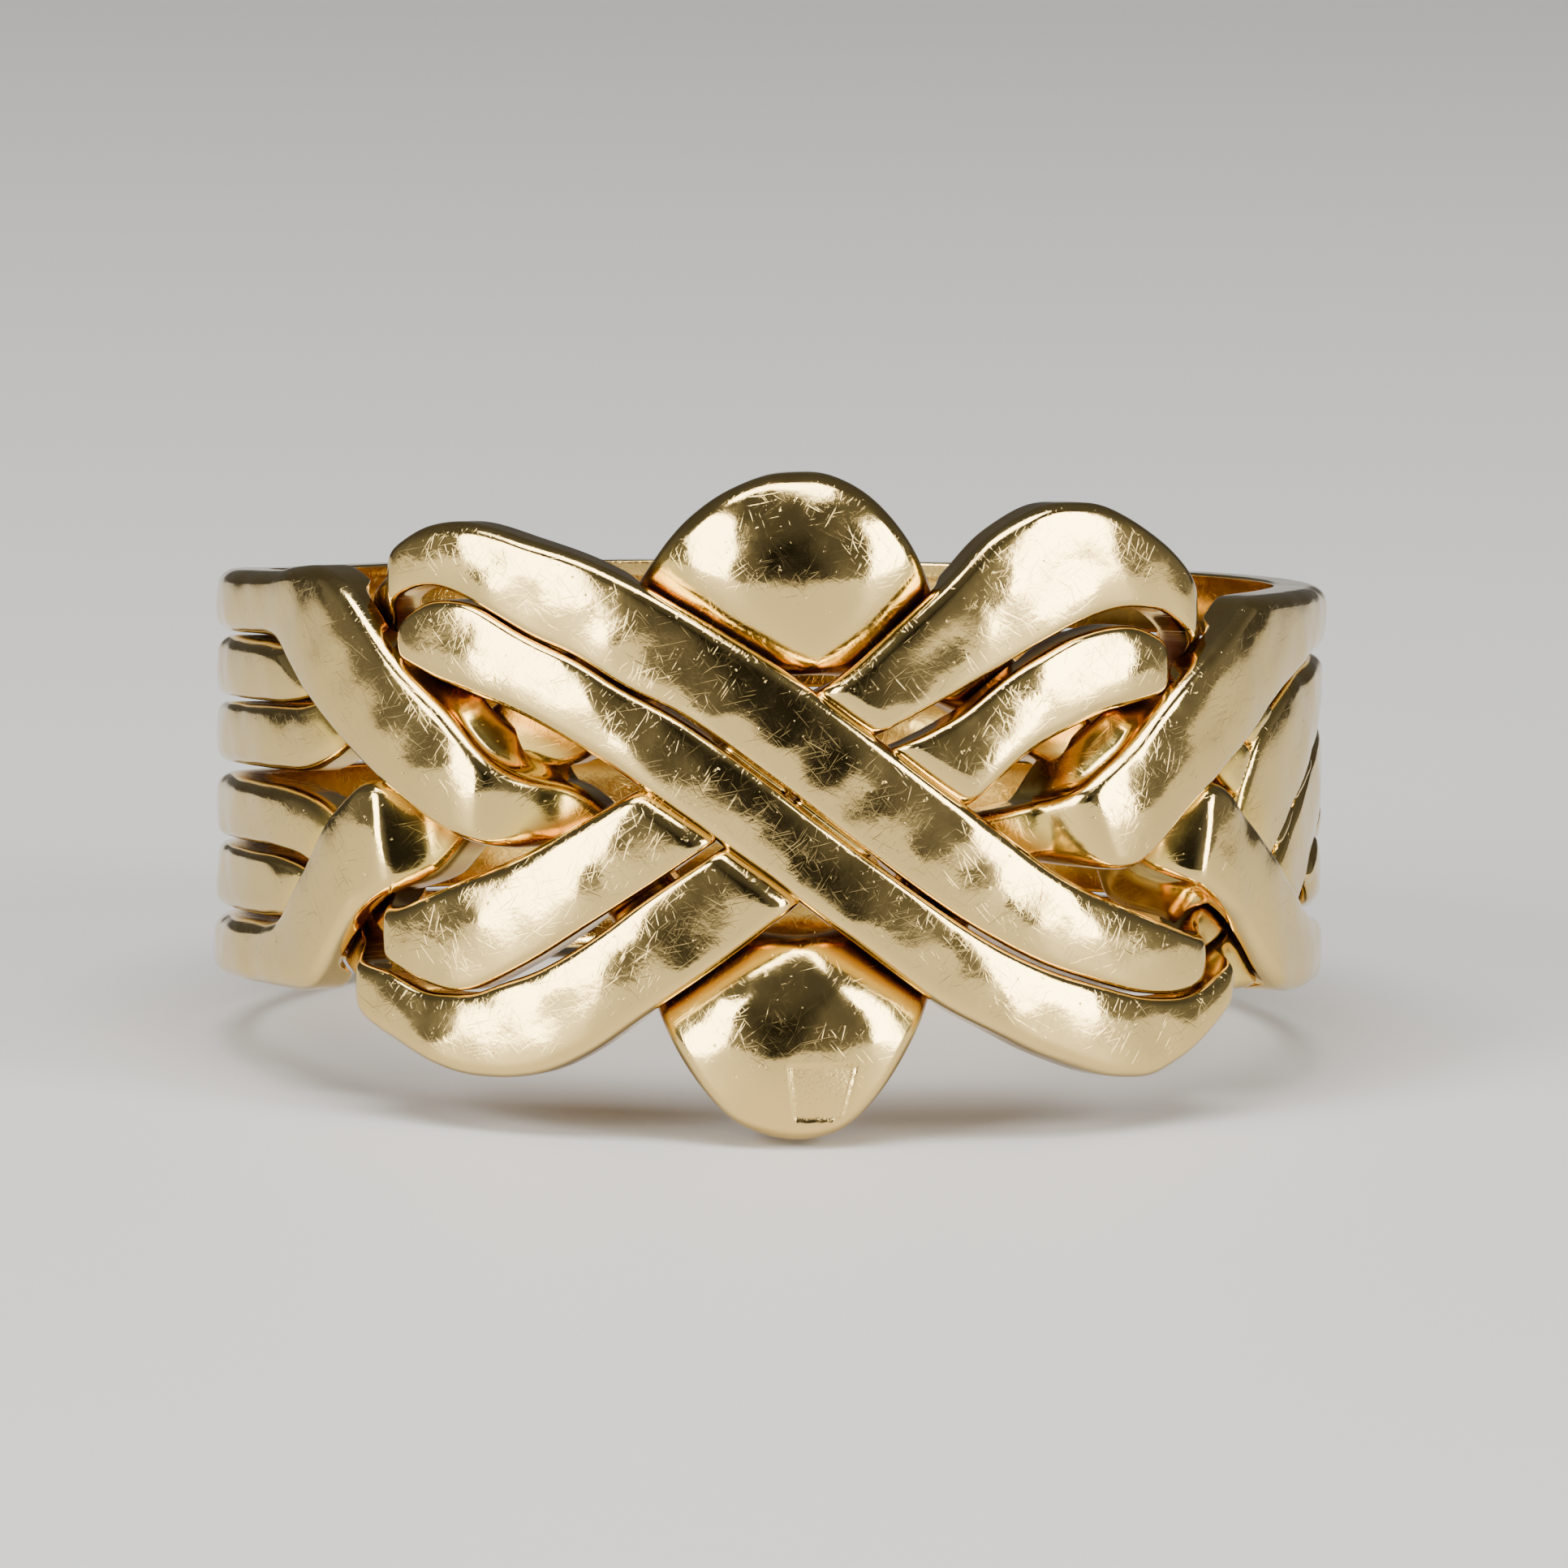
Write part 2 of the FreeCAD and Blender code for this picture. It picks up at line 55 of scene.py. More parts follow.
# %% Named sizes
BORE = 9.50            # inside radius
SHANK = 10.45          # outside radius of the plain shank
WEAVE_RISE = 0.85      # how far the top layer of the weave stands above the shank
TOP = SHANK + WEAVE_RISE
MM_PER_DEGREE = math.radians(1.0) * TOP
LEAN = math.radians(6.163)               # of the ring's axis, back from upright
CENTRE = np.array([0.0, 0.517, 4.951])   # middle of the bore above the floor
MILLIMETRE = 0.001


def to_floor(points):
    """Points of the upright ring, in mm, leaned back about X, moved to the floor, in metres."""
    x, y, z = points[..., 0], points[..., 1], points[..., 2]
    leaned = np.stack([x, y * math.cos(LEAN) + z * math.sin(LEAN),
                       z * math.cos(LEAN) - y * math.sin(LEAN)], axis=-1)
    return (leaned + CENTRE) * MILLIMETRE


print(f"ring of {2 * BORE} mm inside and {2 * TOP:.1f} mm over the weave")

# %% [markdown]
# ## How each band runs
# A band is a closed loop. A short table says, for a few angles, where its lower and its upper
# edge lie and how far it is lifted above the shank: 0 in the plain shank, 1 in the top layer of
# the weave. A drawn curve could do the same, but in a table each bend of the real bands can be
# read and changed by itself. Smooth curves through the rows give every other angle.

# %% One table for each band
BAND_HEIGHT = 1.21            # of a band at the back
BAND_PITCH = 1.29             # from one band to the next at the back
MIDDLE_PLACE = 2.5            # half way between the top place, 0, and the bottom one, 5
PLAIN_BEFORE = (-180, -120)   # angles at the back of the shank
PLAIN_AFTER = (102, 140)
Station = namedtuple("Station", "angle low high lift")


def at_back(place):
    """Edges of a band at the back: half its height each side of its own multiple of the pitch."""
    middle = (MIDDLE_PLACE - place) * BAND_PITCH
    return middle - BAND_HEIGHT / 2, middle + BAND_HEIGHT / 2


def loop(place, rows):
    """All stations of a band: the back of the shank with the rows of the weave between."""
    low, high = at_back(place)
    before = [Station(angle, low, high, 0.0) for angle in PLAIN_BEFORE]
    after = [Station(angle, low, high, 0.0) for angle in PLAIN_AFTER]
    return before + [Station(*row) for row in rows] + after


# The first band forms a V: it comes down from the top edge, carries the lower dome at the
# front and goes up to the top edge again.
FIRST = loop(0, [
    (-95, 2.75, 3.95, 0), (-70, 2.86, 4.07, 0), (-66, 2.83, 4.10, 0.06),
    (-61, 2.42, 4.20, 0.24), (-55, 1.73, 4.28, 0.47), (-49.6, 1.14, 4.05, 0.70),
    (-46, 0.70, 3.53, 0.80), (-40.6, 0.09, 2.58, 0.94), (-33.5, -0.60, 1.50, 1),
    (-31.2, -0.72, 1.02, 0.97), (-28.5, -0.78, 0.64, 0.60), (-26, -0.72, 0.50, 0.15),
    (-24, -0.95, 0.47, 0), (-21.3, -1.45, 0.24, 0), (-16.4, -2.90, -0.55, 0),
    (-9, -5.10, -1.90, 0), (-5.5, -5.74, -2.20, 0), (0, -6.02, -2.30, 0),
    (4.2, -5.85, -2.20, 0), (7.6, -5.26, -1.90, 0), (10.8, -4.36, -1.30, 0),
    (14.5, -3.20, -0.70, 0), (18, -2.20, -0.10, 0), (22.5, -1.35, 0.05, 0),
    (25, -0.95, 0.15, 0.05), (27, -1.00, 0.28, 0.48), (29, -1.05, 0.60, 0.93),
    (30.2, -1.08, 0.77, 1), (33.2, -1.12, 1.19, 1), (37.3, -0.70, 1.94, 0.96),
    (42.2, 0.05, 2.67, 0.88),
    (49.9, 0.95, 3.50, 0.65), (53.3, 1.25, 3.80, 0.50), (59.6, 1.85, 3.82, 0.30),
    (72.6, 2.46, 3.82, 0.03), (80, 2.58, 3.82, 0)])

# The sixth band is the V upside down: it comes up from the bottom edge and carries the
# upper dome.
SIXTH = loop(5, [
    (-70, -3.69, -2.50, 0), (-64, -3.69, -2.38, 0.10), (-61, -3.69, -2.05, 0.20),
    (-55.9, -3.62, -1.17, 0.38), (-52.7, -3.25, -0.50, 0.50), (-48.8, -2.45, 0.05, 0.65),
    (-45.8, -1.95, 0.36, 0.72), (-43.6, -1.75, 0.40, 0.70), (-41.5, -1.60, 0.45, 0.30),
    (-39.5, -1.45, 0.65, 0), (-37, -1.05, 1.10, 0), (-34, -0.40, 1.60, 0),
    (-31, 0.40, 2.00, 0), (-28.5, 0.80, 2.40, 0), (-24.6, 0.72, 2.90, 0),
    (-20, 1.10, 3.50, 0), (-16.1, 2.00, 4.21, 0), (-12.6, 2.25, 5.07, 0),
    (-9.9, 2.31, 5.54, 0), (-6.9, 2.36, 5.90, 0), (-2.1, 2.46, 6.19, 0), (1.7, 2.50, 6.21, 0),
    (4.4, 2.46, 6.05, 0), (6.7, 2.36, 5.80, 0), (9.8, 2.24, 5.18, 0),
    (11.4, 2.16, 4.74, 0), (13.4, 2.04, 4.05, 0),
    (17, 1.75, 3.50, 0), (21, 1.30, 3.00, 0), (25, 0.95, 2.50, 0),
    (28.5, 0.70, 2.10, 0), (31, 0.25, 1.75, 0), (34, -0.35, 1.40, 0),
    (37, -0.95, 1.05, 0), (40, -1.25, 0.60, 0), (42.5, -1.42, 0.48, 0.30),
    (44.6, -1.57, 0.48, 0.70), (47.7, -1.90, 0.35, 0.68), (52, -2.42, -0.19, 0.52),
    (57.6, -3.31, -0.90, 0.47), (61.2, -3.62, -1.36, 0.38), (70, -3.70, -2.12, 0.17),
    (75.7, -3.70, -2.32, 0.05), (85, -3.74, -2.45, 0)])

# The second and third bands run side by side from the upper left down to the lower right.
SECOND = loop(1, [
    (-95, 1.52, 2.66, 0), (-80, 1.62, 2.77, 0), (-66, 1.63, 2.76, 0),
    (-61, 1.70, 2.85, 0), (-55, 2.00, 3.20, 0), (-47, 2.90, 4.02, 0),
    (-45, 3.15, 4.32, 0.05), (-43.2, 3.42, 4.52, 0.45), (-41.3, 3.78, 4.73, 0.93),
    (-37, 4.03, 5.15, 1), (-34, 3.90, 5.22, 1), (-25.4, 3.10, 4.87, 1),
    (-20.7, 2.73, 4.60, 1), (-17.4, 2.34, 4.33, 1), (-11, 1.76, 3.68, 1),
    (-1.7, 0.48, 2.62, 1), (17.5, -2.18, -0.07, 1), (26.9, -2.99, -1.27, 1),
    (38, -3.44, -2.12, 1), (41, -3.40, -2.30, 0.98), (43.2, -3.25, -2.42, 0.90),
    (44.8, -3.05, -2.35, 0.45), (46.3, -2.90, -2.10, 0), (50, -2.60, -1.20, 0),
    (56.5, -1.98, 0.85, 0), (59.6, -1.47, 1.42, 0), (71, 0.12, 2.26, 0),
    (80, 0.95, 2.46, 0), (90, 1.25, 2.52, 0)])
THIRD = loop(2, [
    (-80, 0.35, 1.52, 0), (-61, 0.38, 1.60, 0), (-55, 0.65, 1.85, 0),
    (-50, 1.15, 2.35, 0), (-46, 1.70, 2.75, 0), (-43.2, 2.32, 3.00, 0.05),
    (-41.8, 2.62, 3.15, 0.45), (-40.6, 2.70, 3.28, 0.92), (-39.6, 2.62, 3.48, 1),
    (-36.3, 2.29, 3.77, 1), (-33.5, 2.14, 3.76, 1), (-26.8, 1.68, 3.18, 1),
    (-20.6, 1.08, 2.66, 1), (-17.3, 0.70, 2.27, 1), (-11.4, -0.06, 1.69, 1),
    (4.4, -2.25, -0.52, 1), (13.7, -3.53, -1.80, 1), (18.9, -4.02, -2.42, 1),
    (24.4, -4.50, -2.90, 1), (33, -4.94, -3.37, 1), (36.2, -4.96, -3.49, 1),
    (39.5, -4.74, -3.51, 1), (42, -4.46, -3.44, 1), (46.6, -3.75, -2.97, 0.98),
    (48.2, -3.45, -2.82, 0.60), (49.6, -3.45, -2.72, 0.15), (51.5, -3.50, -2.56, 0),
    (56.5, -3.55, -2.09, 0), (59.6, -3.45, -1.60, 0), (62.3, -3.15, -1.19, 0),
    (71, -1.98, 0.01, 0), (80, -0.95, 0.87, 0), (90, -0.15, 1.17, 0)])

# The fourth and fifth bands run side by side from the lower left up to the upper right.
FOURTH = loop(3, [
    (-80, -1.06, 0.12, 0), (-66, -1.07, 0.10, 0), (-61, -1.15, 0.02, 0),
    (-56, -1.45, -0.20, 0), (-47, -2.45, -1.20, 0), (-44.6, -2.75, -1.60, 0.02),
    (-43.2, -2.85, -1.85, 0.50), (-41.8, -2.92, -1.98, 0.95), (-37, -3.28, -1.66, 1),
    (-33.6, -3.42, -1.40, 1), (-26.6, -2.90, -0.83, 1), (-20, -2.12, -0.12, 1), (-3, 0.12, 1.75, 1),
    (3.5, 1.00, 2.45, 1), (9, 1.60, 3.40, 1), (14.8, 2.20, 4.42, 1),
    (18.2, 2.56, 5.08, 1), (25.2, 3.28, 5.66, 1), (28.9, 3.56, 5.66, 1),
    (32.9, 3.72, 5.40, 1), (37, 3.66, 4.97, 1), (39.6, 3.38, 4.60, 0.98),
    (42, 3.10, 4.20, 0.75), (44, 2.85, 3.85, 0.25), (46, 2.52, 3.50, 0),
    (50, 1.83, 3.05, 0), (58, 0.87, 2.10, 0), (61, 0.47, 1.75, 0),
    (75, -0.47, 0.72, 0), (90, -1.13, 0.08, 0)])
FIFTH = loop(4, [
    (-80, -2.42, -1.20, 0), (-66, -2.42, -1.22, 0), (-61, -2.50, -1.32, 0),
    (-56, -2.85, -1.70, 0), (-51, -3.25, -2.20, 0), (-48.5, -3.55, -2.55, 0.05),
    (-46.8, -3.75, -2.80, 0.50), (-45, -3.98, -2.98, 0.95), (-41.3, -4.33, -3.12, 1),
    (-36.2, -4.76, -3.46, 1), (-32.2, -4.95, -3.46, 1), (-29, -4.97, -3.24, 1),
    (-25.2, -4.88, -2.99, 1), (-20.4, -4.51, -2.46, 1), (-14.6, -3.76, -1.62, 1),
    (-9, -3.02, -0.88, 1), (3.5, -1.20, 0.70, 1), (9, -0.60, 1.20, 1),
    (14.9, -0.10, 1.76, 1), (20.1, 0.75, 2.52, 1), (23.6, 1.22, 2.90, 1),
    (27.2, 1.53, 3.22, 1), (31, 1.83, 3.38, 1), (33, 1.90, 3.40, 1),
    (37.3, 2.10, 3.14, 0.95), (39, 2.20, 2.92, 0.50), (40.6, 2.00, 2.75, 0.05),
    (43, 1.62, 2.60, 0), (46, 1.15, 2.20, 0), (50, 0.50, 1.76, 0),
    (58, -0.42, 0.80, 0), (61, -0.74, 0.40, 0), (70, -1.42, -0.30, 0),
    (75, -1.72, -0.54, 0), (80, -2.05, -0.81, 0), (90, -2.38, -1.20, 0)])
ROUTES = {
    "first_band": FIRST, "second_band": SECOND, "third_band": THIRD,
    "fourth_band": FOURTH, "fifth_band": FIFTH, "sixth_band": SIXTH}
print("stations:", {name: len(route) for name, route in ROUTES.items()})

# %% [markdown]
# ## Which band lies over which
# Where two bands cross, the lower one is thinned from the outside and the upper one from the
# bore side, like a carpenter's half lap. The table says which is on top, between which angles,
# how high above the bore the two are parted at its start and at its end, and how long the ramp
# beside the crossing is.

# %% The crossings
WEAVE = 0.915      # the parting in the weave, near the outside of the shank
SHARED = 0.43      # the parting where two bands share the thickness of the shank
LOW = 0.1076       # the parting at the far end of the sixth band's crossing on the right
WIDE = 0.62        # length over which the lower band dips
TIGHT = 0.6 * WIDE
Crossing = namedtuple("Crossing", "over under start end start_depth end_depth ramp")
CROSSINGS = [Crossing(*row) for row in [
    ("first_band", "second_band", -68, -42, SHARED, WEAVE, WIDE),
    ("first_band", "third_band", -62, -40, SHARED, WEAVE, WIDE),
    ("first_band", "sixth_band", -48, -27.8, WEAVE, WEAVE, WIDE),
    ("sixth_band", "fifth_band", -68, -44, SHARED, WEAVE, WIDE),
    ("sixth_band", "fourth_band", -62, -42, SHARED, WEAVE, WIDE),
    ("fourth_band", "first_band", -27, -4, WEAVE, WEAVE, WIDE),
    ("fifth_band", "first_band", -24, 6, WEAVE, WEAVE, WIDE),
    ("third_band", "first_band", 2, 22, WEAVE, WEAVE, WIDE),
    ("second_band", "first_band", 8, 37, WEAVE, WEAVE, WIDE),
    ("third_band", "sixth_band", -33, -10, WEAVE, WEAVE, WIDE),
    ("second_band", "sixth_band", -27, 4, WEAVE, WEAVE, WIDE),
    ("fourth_band", "sixth_band", -2, 24, WEAVE, WEAVE, WIDE),
    ("fifth_band", "sixth_band", 8, 33, WEAVE, WEAVE, WIDE),
    ("second_band", "fourth_band", -14, 20, WEAVE, WEAVE, WIDE),
    ("third_band", "fourth_band", -24, 10, WEAVE, WEAVE, WIDE),
    ("second_band", "fifth_band", -4, 30, WEAVE, WEAVE, WIDE),
    ("third_band", "fifth_band", -14, 20, WEAVE, WEAVE, WIDE),
    ("first_band", "sixth_band", 26.5, 50, WEAVE, WEAVE, WIDE),
    ("first_band", "fourth_band", 40, 62, WEAVE, SHARED, WIDE),
    ("first_band", "fifth_band", 37, 62, WEAVE, SHARED, WIDE),
    ("sixth_band", "second_band", 44, 76, WEAVE, LOW, TIGHT),
    ("sixth_band", "third_band", 47, 76, WEAVE, LOW, TIGHT),
    ("second_band", "fourth_band", 48, 96, SHARED, SHARED, TIGHT),
    ("second_band", "fifth_band", 44, 84, SHARED, SHARED, TIGHT),
    ("third_band", "fourth_band", 54, 102, SHARED, SHARED, TIGHT),
    ("third_band", "fifth_band", 50, 102, SHARED, SHARED, TIGHT)]]
print(len(CROSSINGS), "crossings")

# %% [markdown]
# ## Curves through the tables
# A smooth curve that never swings past the rows needs slopes that are zero wherever the values
# turn round. The harmonic mean of the two neighbouring slopes does that, and a cubic between
# two rows joins them. The edges of real bands have been filed and polished, so the curve is
# then averaged with the weights of a bell curve, as a file would do, over a few degrees for the
# edges and half as much for the lift. All angles of a band are worked out at once as arrays.

# %% Smooth closed curves
FULL_TURN = 360
FINE_STEP = 0.1        # degrees between the points that are averaged
FINE_SPAN = (-200.0, 300.0)   # a little more than once round
FINE = np.arange(*FINE_SPAN, FINE_STEP)
EDGE_WIDTH = 1.0       # width of the bell curve for the edges, in degrees
LIFT_WIDTH = 0.5       # the same for the lift
BELL_REACH = 3         # widths of the bell curve to each side
SLOPE_SPAN = 1.0       # degrees over which a slope is taken


def bell(width):
    """Weights of a bell curve: e to minus half the square of the distance in widths."""
    steps = np.arange(-BELL_REACH * width, BELL_REACH * width + FINE_STEP / 2, FINE_STEP)
    weights = np.exp(-0.5 * (steps / width) ** 2)
    return weights / weights.sum()


class Curve:
    """A closed curve through one column of a band's stations, averaged over a few degrees."""

    def __init__(self, stations, column, width):
        turns = (-FULL_TURN, 0, FULL_TURN)
        self.angles = np.array([station.angle + turn for turn in turns for station in stations], float)
        self.values = np.array([getattr(station, column) for _ in turns for station in stations], float)
        rises = np.diff(self.values) / np.diff(self.angles)
        before, after = rises[:-1], rises[1:]
        total = np.where(before * after > 0, before + after, 1.0)
        self.slopes = np.zeros(len(self.values))
        self.slopes[1:-1] = np.where(before * after > 0, 2 * before * after / total, 0.0)
        weights = bell(width)
        reach = len(weights) // 2
        self.fine = np.convolve(self.cubic(FINE), weights, mode="same")
        self.usable = slice(reach, -reach)

    def cubic(self, angle):
        """Cubic between the two rows beside each angle, from their values and slopes."""
        row = np.searchsorted(self.angles, angle, side="right") - 1
        step = self.angles[row + 1] - self.angles[row]
        t = (angle - self.angles[row]) / step
        return ((1 + 2 * t) * (1 - t) ** 2 * self.values[row]
                + t * (1 - t) ** 2 * step * self.slopes[row]
                + t * t * (3 - 2 * t) * self.values[row + 1]
                - t * t * (1 - t) * step * self.slopes[row + 1])

    def at(self, angle):
        """The averaged curve at any angle, straight between two fine points."""
        return np.interp(angle, FINE[self.usable], self.fine[self.usable])

    def slope(self, angle):
        """Rise over run on the outside of the ring."""
        half = SLOPE_SPAN / 2
        return (self.at(angle + half) - self.at(angle - half)) / (SLOPE_SPAN * MM_PER_DEGREE)

    def stretch(self, angle):
        """Upwards over square to the curve: the root of 1 plus the square of the slope."""
        return np.hypot(1, self.slope(angle))


class Route:
    """How one band runs round the finger."""

    def __init__(self, stations):
        self.low = Curve(stations, "low", EDGE_WIDTH)
        self.high = Curve(stations, "high", EDGE_WIDTH)
        self.lift = Curve(stations, "lift", LIFT_WIDTH)

    def beyond(self, angle, height):
        """How far points lie beyond the nearer edge, square to it, and below 0 on the band."""
        below = (self.low.at(angle) - height) / self.low.stretch(angle)
        above = (height - self.high.at(angle)) / self.high.stretch(angle)
        return np.maximum(below, above)

    def nearest(self, angle, height):
        """The same heights, kept between the two edges of the band."""
        return np.clip(height, self.low.at(angle), self.high.at(angle))


def smooth_step(t):
    """0 below 0, 1 above 1, and between them 3 t squared minus 2 t cubed."""
    t = np.clip(t, 0.0, 1.0)
    return t * t * (3 - 2 * t)


routes = {name: Route(stations) for name, stations in ROUTES.items()}
print("low edge of the first band at the front:", round(float(routes["first_band"].low.at(0.0)), 2), "mm")

# %% [markdown]
# ## The two domes
# The first band carries the lower dome and the sixth the upper one. A dome fills the space
# between the two diagonals to the full height of the weave, so its sides follow the edges of
# the bands beside it. A piece of a sphere would be too round: the real one is like a cushion,
# so its surface falls with the square of the distance from its middle.

# %% How high the domes stand
Dome = namedtuple("Dome", "start full_from full_to end side")
DOMES = {
    "first_band": Dome(start=-17.5, full_from=-13.5, full_to=12.0, end=16.0, side=-1),
    "sixth_band": Dome(start=-19.5, full_from=-15.5, full_to=12.5, end=16.5, side=1)}
DOME_TOP = 0.14        # its middle above the top layer
DOME_FALL = 0.72       # how far its surface has fallen at its edges
DOME_LIMIT = 1.5       # most that it falls beyond them, in such falls
DOME_RAMP = 1.15       # length over which it rolls down beside the diagonals
DOME_MIDDLE = 4.30     # height of its middle above or below the weave's
DOME_TURN = -0.6       # degrees from the middle of the weave to its own
DOME_REACH = 2.1       # from its middle to its edge, up and down
DOME_WIDTH = 3.0       # from its middle to its side


def dome_size(name, angle):
    """0 beside the dome and 1 where it is full, with a smooth step at each end."""
    if name not in DOMES:
        return np.zeros_like(angle)
    dome = DOMES[name]
    rising = smooth_step((angle - dome.start) / (dome.full_from - dome.start))
    falling = smooth_step((dome.end - angle) / (dome.end - dome.full_to))
    return rising * falling


def dome_radius(name, angle, height):
    """A cushion: its top, less the squares of the distances up and aside from its middle."""
    up = (height - DOMES[name].side * DOME_MIDDLE) / DOME_REACH
    aside = np.radians(angle - DOME_TURN) * TOP / DOME_WIDTH
    return TOP + DOME_TOP - DOME_FALL * np.minimum(up ** 2 + aside ** 2, DOME_LIMIT)


print("domes on:", sorted(DOMES), "with their tops at", round(TOP + DOME_TOP, 2), "mm")

# %% [markdown]
# ## Folds and crowns
# Where a wide band folds down, the fold runs at a slant over it. It is made by shifting the
# angle at which the lift is read, more and more towards one edge. Between their edges the bands
# are not flat either: filing and wear leave them a little crowned.

# %% The free outside of a band
Fold = namedtuple("Fold", "band start end lean pivot")
FOLDS = [
    Fold("first_band", start=21, end=35, lean=2.37, pivot=-0.20),
    Fold("first_band", start=-36, end=-25, lean=-0.5, pivot=0.30),
    Fold("sixth_band", start=40, end=47, lean=-1.2, pivot=-0.40),
    Fold("sixth_band", start=-48, end=-38, lean=1.1, pivot=-0.30)]
FOLD_RAMP = 2          # degrees over which the shift of a fold sets in
CROWN = 0.065          # rise of the middle of a band
WIDE_CROWN = 0.11      # the same on the two bands with the domes
CROWN_POWER = 2.5      # how flat the crown is in its middle


def lift_at(name, angle, height):
    """Lift of a band, read at the angle plus the fold's lean times the height over its pivot."""
    shifted = angle + 0 * height
    for fold in FOLDS:
        if fold.band == name:
            near = smooth_step((angle - fold.start) / FOLD_RAMP)
            near = near * smooth_step((fold.end - angle) / FOLD_RAMP)
            shifted = shifted + fold.lean * (height - fold.pivot) * near
    return routes[name].lift.at(shifted)


def free_radius(name, angle, height, dome):
    """Outside radius of a band where nothing lies over it, with or without its dome.

    It is the shank's, plus the lift times the rise of the weave, plus the crown times 1 less a
    power of the distance from the middle of the band.
    """
    low, high = routes[name].low.at(angle), routes[name].high.at(angle)
    from_middle = np.abs(np.clip((2 * height - low - high) / (high - low), -1, 1))
    crown = (WIDE_CROWN if name in DOMES else CROWN) * (1 - from_middle ** CROWN_POWER)
    plain = SHANK + WEAVE_RISE * lift_at(name, angle, height) + crown
    if name not in DOMES or not dome:
        return plain
    return plain + (dome_radius(name, angle, height) - plain) * dome_size(name, angle)


print(len(FOLDS), "slanted folds, crowns of", CROWN, "and", WIDE_CROWN, "mm")

# %% [markdown]
# ## Crossings
# Each band that lies over another presses it down to the parting radius, fully where it covers
# it and smoothly back to nothing along the ramp. The bore side of the upper band is lifted clear
# of the outside of the lower one, so the two always fit. Cutting one band with a copy of the
# other could do this too, but the cut would have sharp edges, which the real ring hasn't.

# %% Outside of a band
LAP_GAP = 0.11         # gap between the bands of a crossing
LAP_INSET = 0.24       # how far inside the edge of the upper band the lower one is fully down
WINDOW_RAMP = 4        # degrees over which a crossing sets in and ends


def window(crossing, angle):
    """1 between the first and last angle of a crossing and 0 outside, with smooth steps."""
    coming = smooth_step((angle - crossing.start) / WINDOW_RAMP + 0.5)
    going = smooth_step((crossing.end - angle) / WINDOW_RAMP + 0.5)
    return coming * going


def parting(crossing, angle):
    """Radius of the surface between the two bands of a crossing, straight from start to end."""
    t = (angle - crossing.start) / (crossing.end - crossing.start)
    return BORE + crossing.start_depth + (crossing.end_depth - crossing.start_depth) * t


def outside(name, angle, height, dome=True):
    """Outside radius: the free one, or less where another band lies over it.

    It comes up beside the other band along a quarter circle: 1 less the square of what is left
    of the ramp, under a square root.
    """
    free = free_radius(name, angle, height, dome)
    outer = free
    size = dome_size(name, angle) if dome else 0.0
    for crossing in CROSSINGS:
        if crossing.under == name:
            away = routes[crossing.over].beyond(angle, height)
            cap = parting(crossing, angle) - LAP_GAP / 2
            ramp = crossing.ramp + (DOME_RAMP - crossing.ramp) * size
            left = 1 - np.clip((away + LAP_INSET) / ramp, 0, 1)
            down = (free - cap) * (1 - np.sqrt(1 - left ** 2))
            outer = np.minimum(outer, free - down * window(crossing, angle))
    return outer


print("gap between two bands:", LAP_GAP, "mm")

# %% Bore side of a band
BAND_DEPTH = 0.90      # thickness of a band in the weave
LEAST_DEPTH = 0.10     # thickness that is always left
CLEAR_TO = 0.05        # how far past the lower band's edge the upper one is fully clear of it
CLEAR_RAMP = 0.20      # length over which it comes back
DOME_HOLLOW = 0.45     # how far the bore side is raised below a dome
HOLLOW_RAMP = 0.4      # rise of the dome over which this sets in


def inside(name, angle, height):
    """Bore side radius: a band's depth below its outside, and clear of the bands under it."""
    outer = outside(name, angle, height)
    bare = outside(name, angle, height, dome=False)
    plain = np.maximum(BORE, bare - BAND_DEPTH)
    inner = plain
    for crossing in CROSSINGS:
        if crossing.over == name:
            under = routes[crossing.under]
            clear = outside(crossing.under, angle, under.nearest(angle, height)) + LAP_GAP
            beside = smooth_step((under.beyond(angle, height) - CLEAR_TO) / CLEAR_RAMP)
            raise_by = (clear - plain) * (1 - beside) * window(crossing, angle)
            inner = np.maximum(inner, plain + raise_by)
    inner = inner + DOME_HOLLOW * smooth_step((outer - bare) / HOLLOW_RAMP)
    return np.minimum(inner, outer - LEAST_DEPTH)


print("depth of a band:", BAND_DEPTH, "mm, and never less than", LEAST_DEPTH, "mm")

# %% [markdown]
# ## The wear of years
# A worn gold ring is never quite flat: its faces swell and sink by a few hundredths of a
# millimetre, which is what makes the reflections on it wander. A noise texture on a Displace
# modifier could do that, but a few slow waves of fixed direction and phase, shifted from band
# to band, are enough and come out the same each time.

# %% Gentle waves over the faces
Wave = namedtuple("Wave", "along across phase rise")
WAVES = [
    Wave(1.3, 0.9, 0.3, 0.011), Wave(-0.8, 1.7, 1.9, 0.011), Wave(2.3, -1.1, 4.4, 0.008),
    Wave(0.5, 2.6, 2.7, 0.008), Wave(3.1, 1.9, 5.3, 0.006), Wave(-4.3, 2.9, 0.8, 0.004),
    Wave(5.2, 3.7, 3.3, 0.003), Wave(2.9, -5.6, 1.1, 0.003)]
BAND_PHASE = 2.1       # from one band to the next


def waves(angle, height, seed):
    """Sum of sines of height and of distance round the ring, in mm."""
    run = np.radians(angle) * TOP
    shift = BAND_PHASE * seed
    return sum(wave.rise * np.sin(wave.along * run + wave.across * height + wave.phase + shift)
               for wave in WAVES)


print("waves of up to", round(sum(wave.rise for wave in WAVES), 3), "mm")

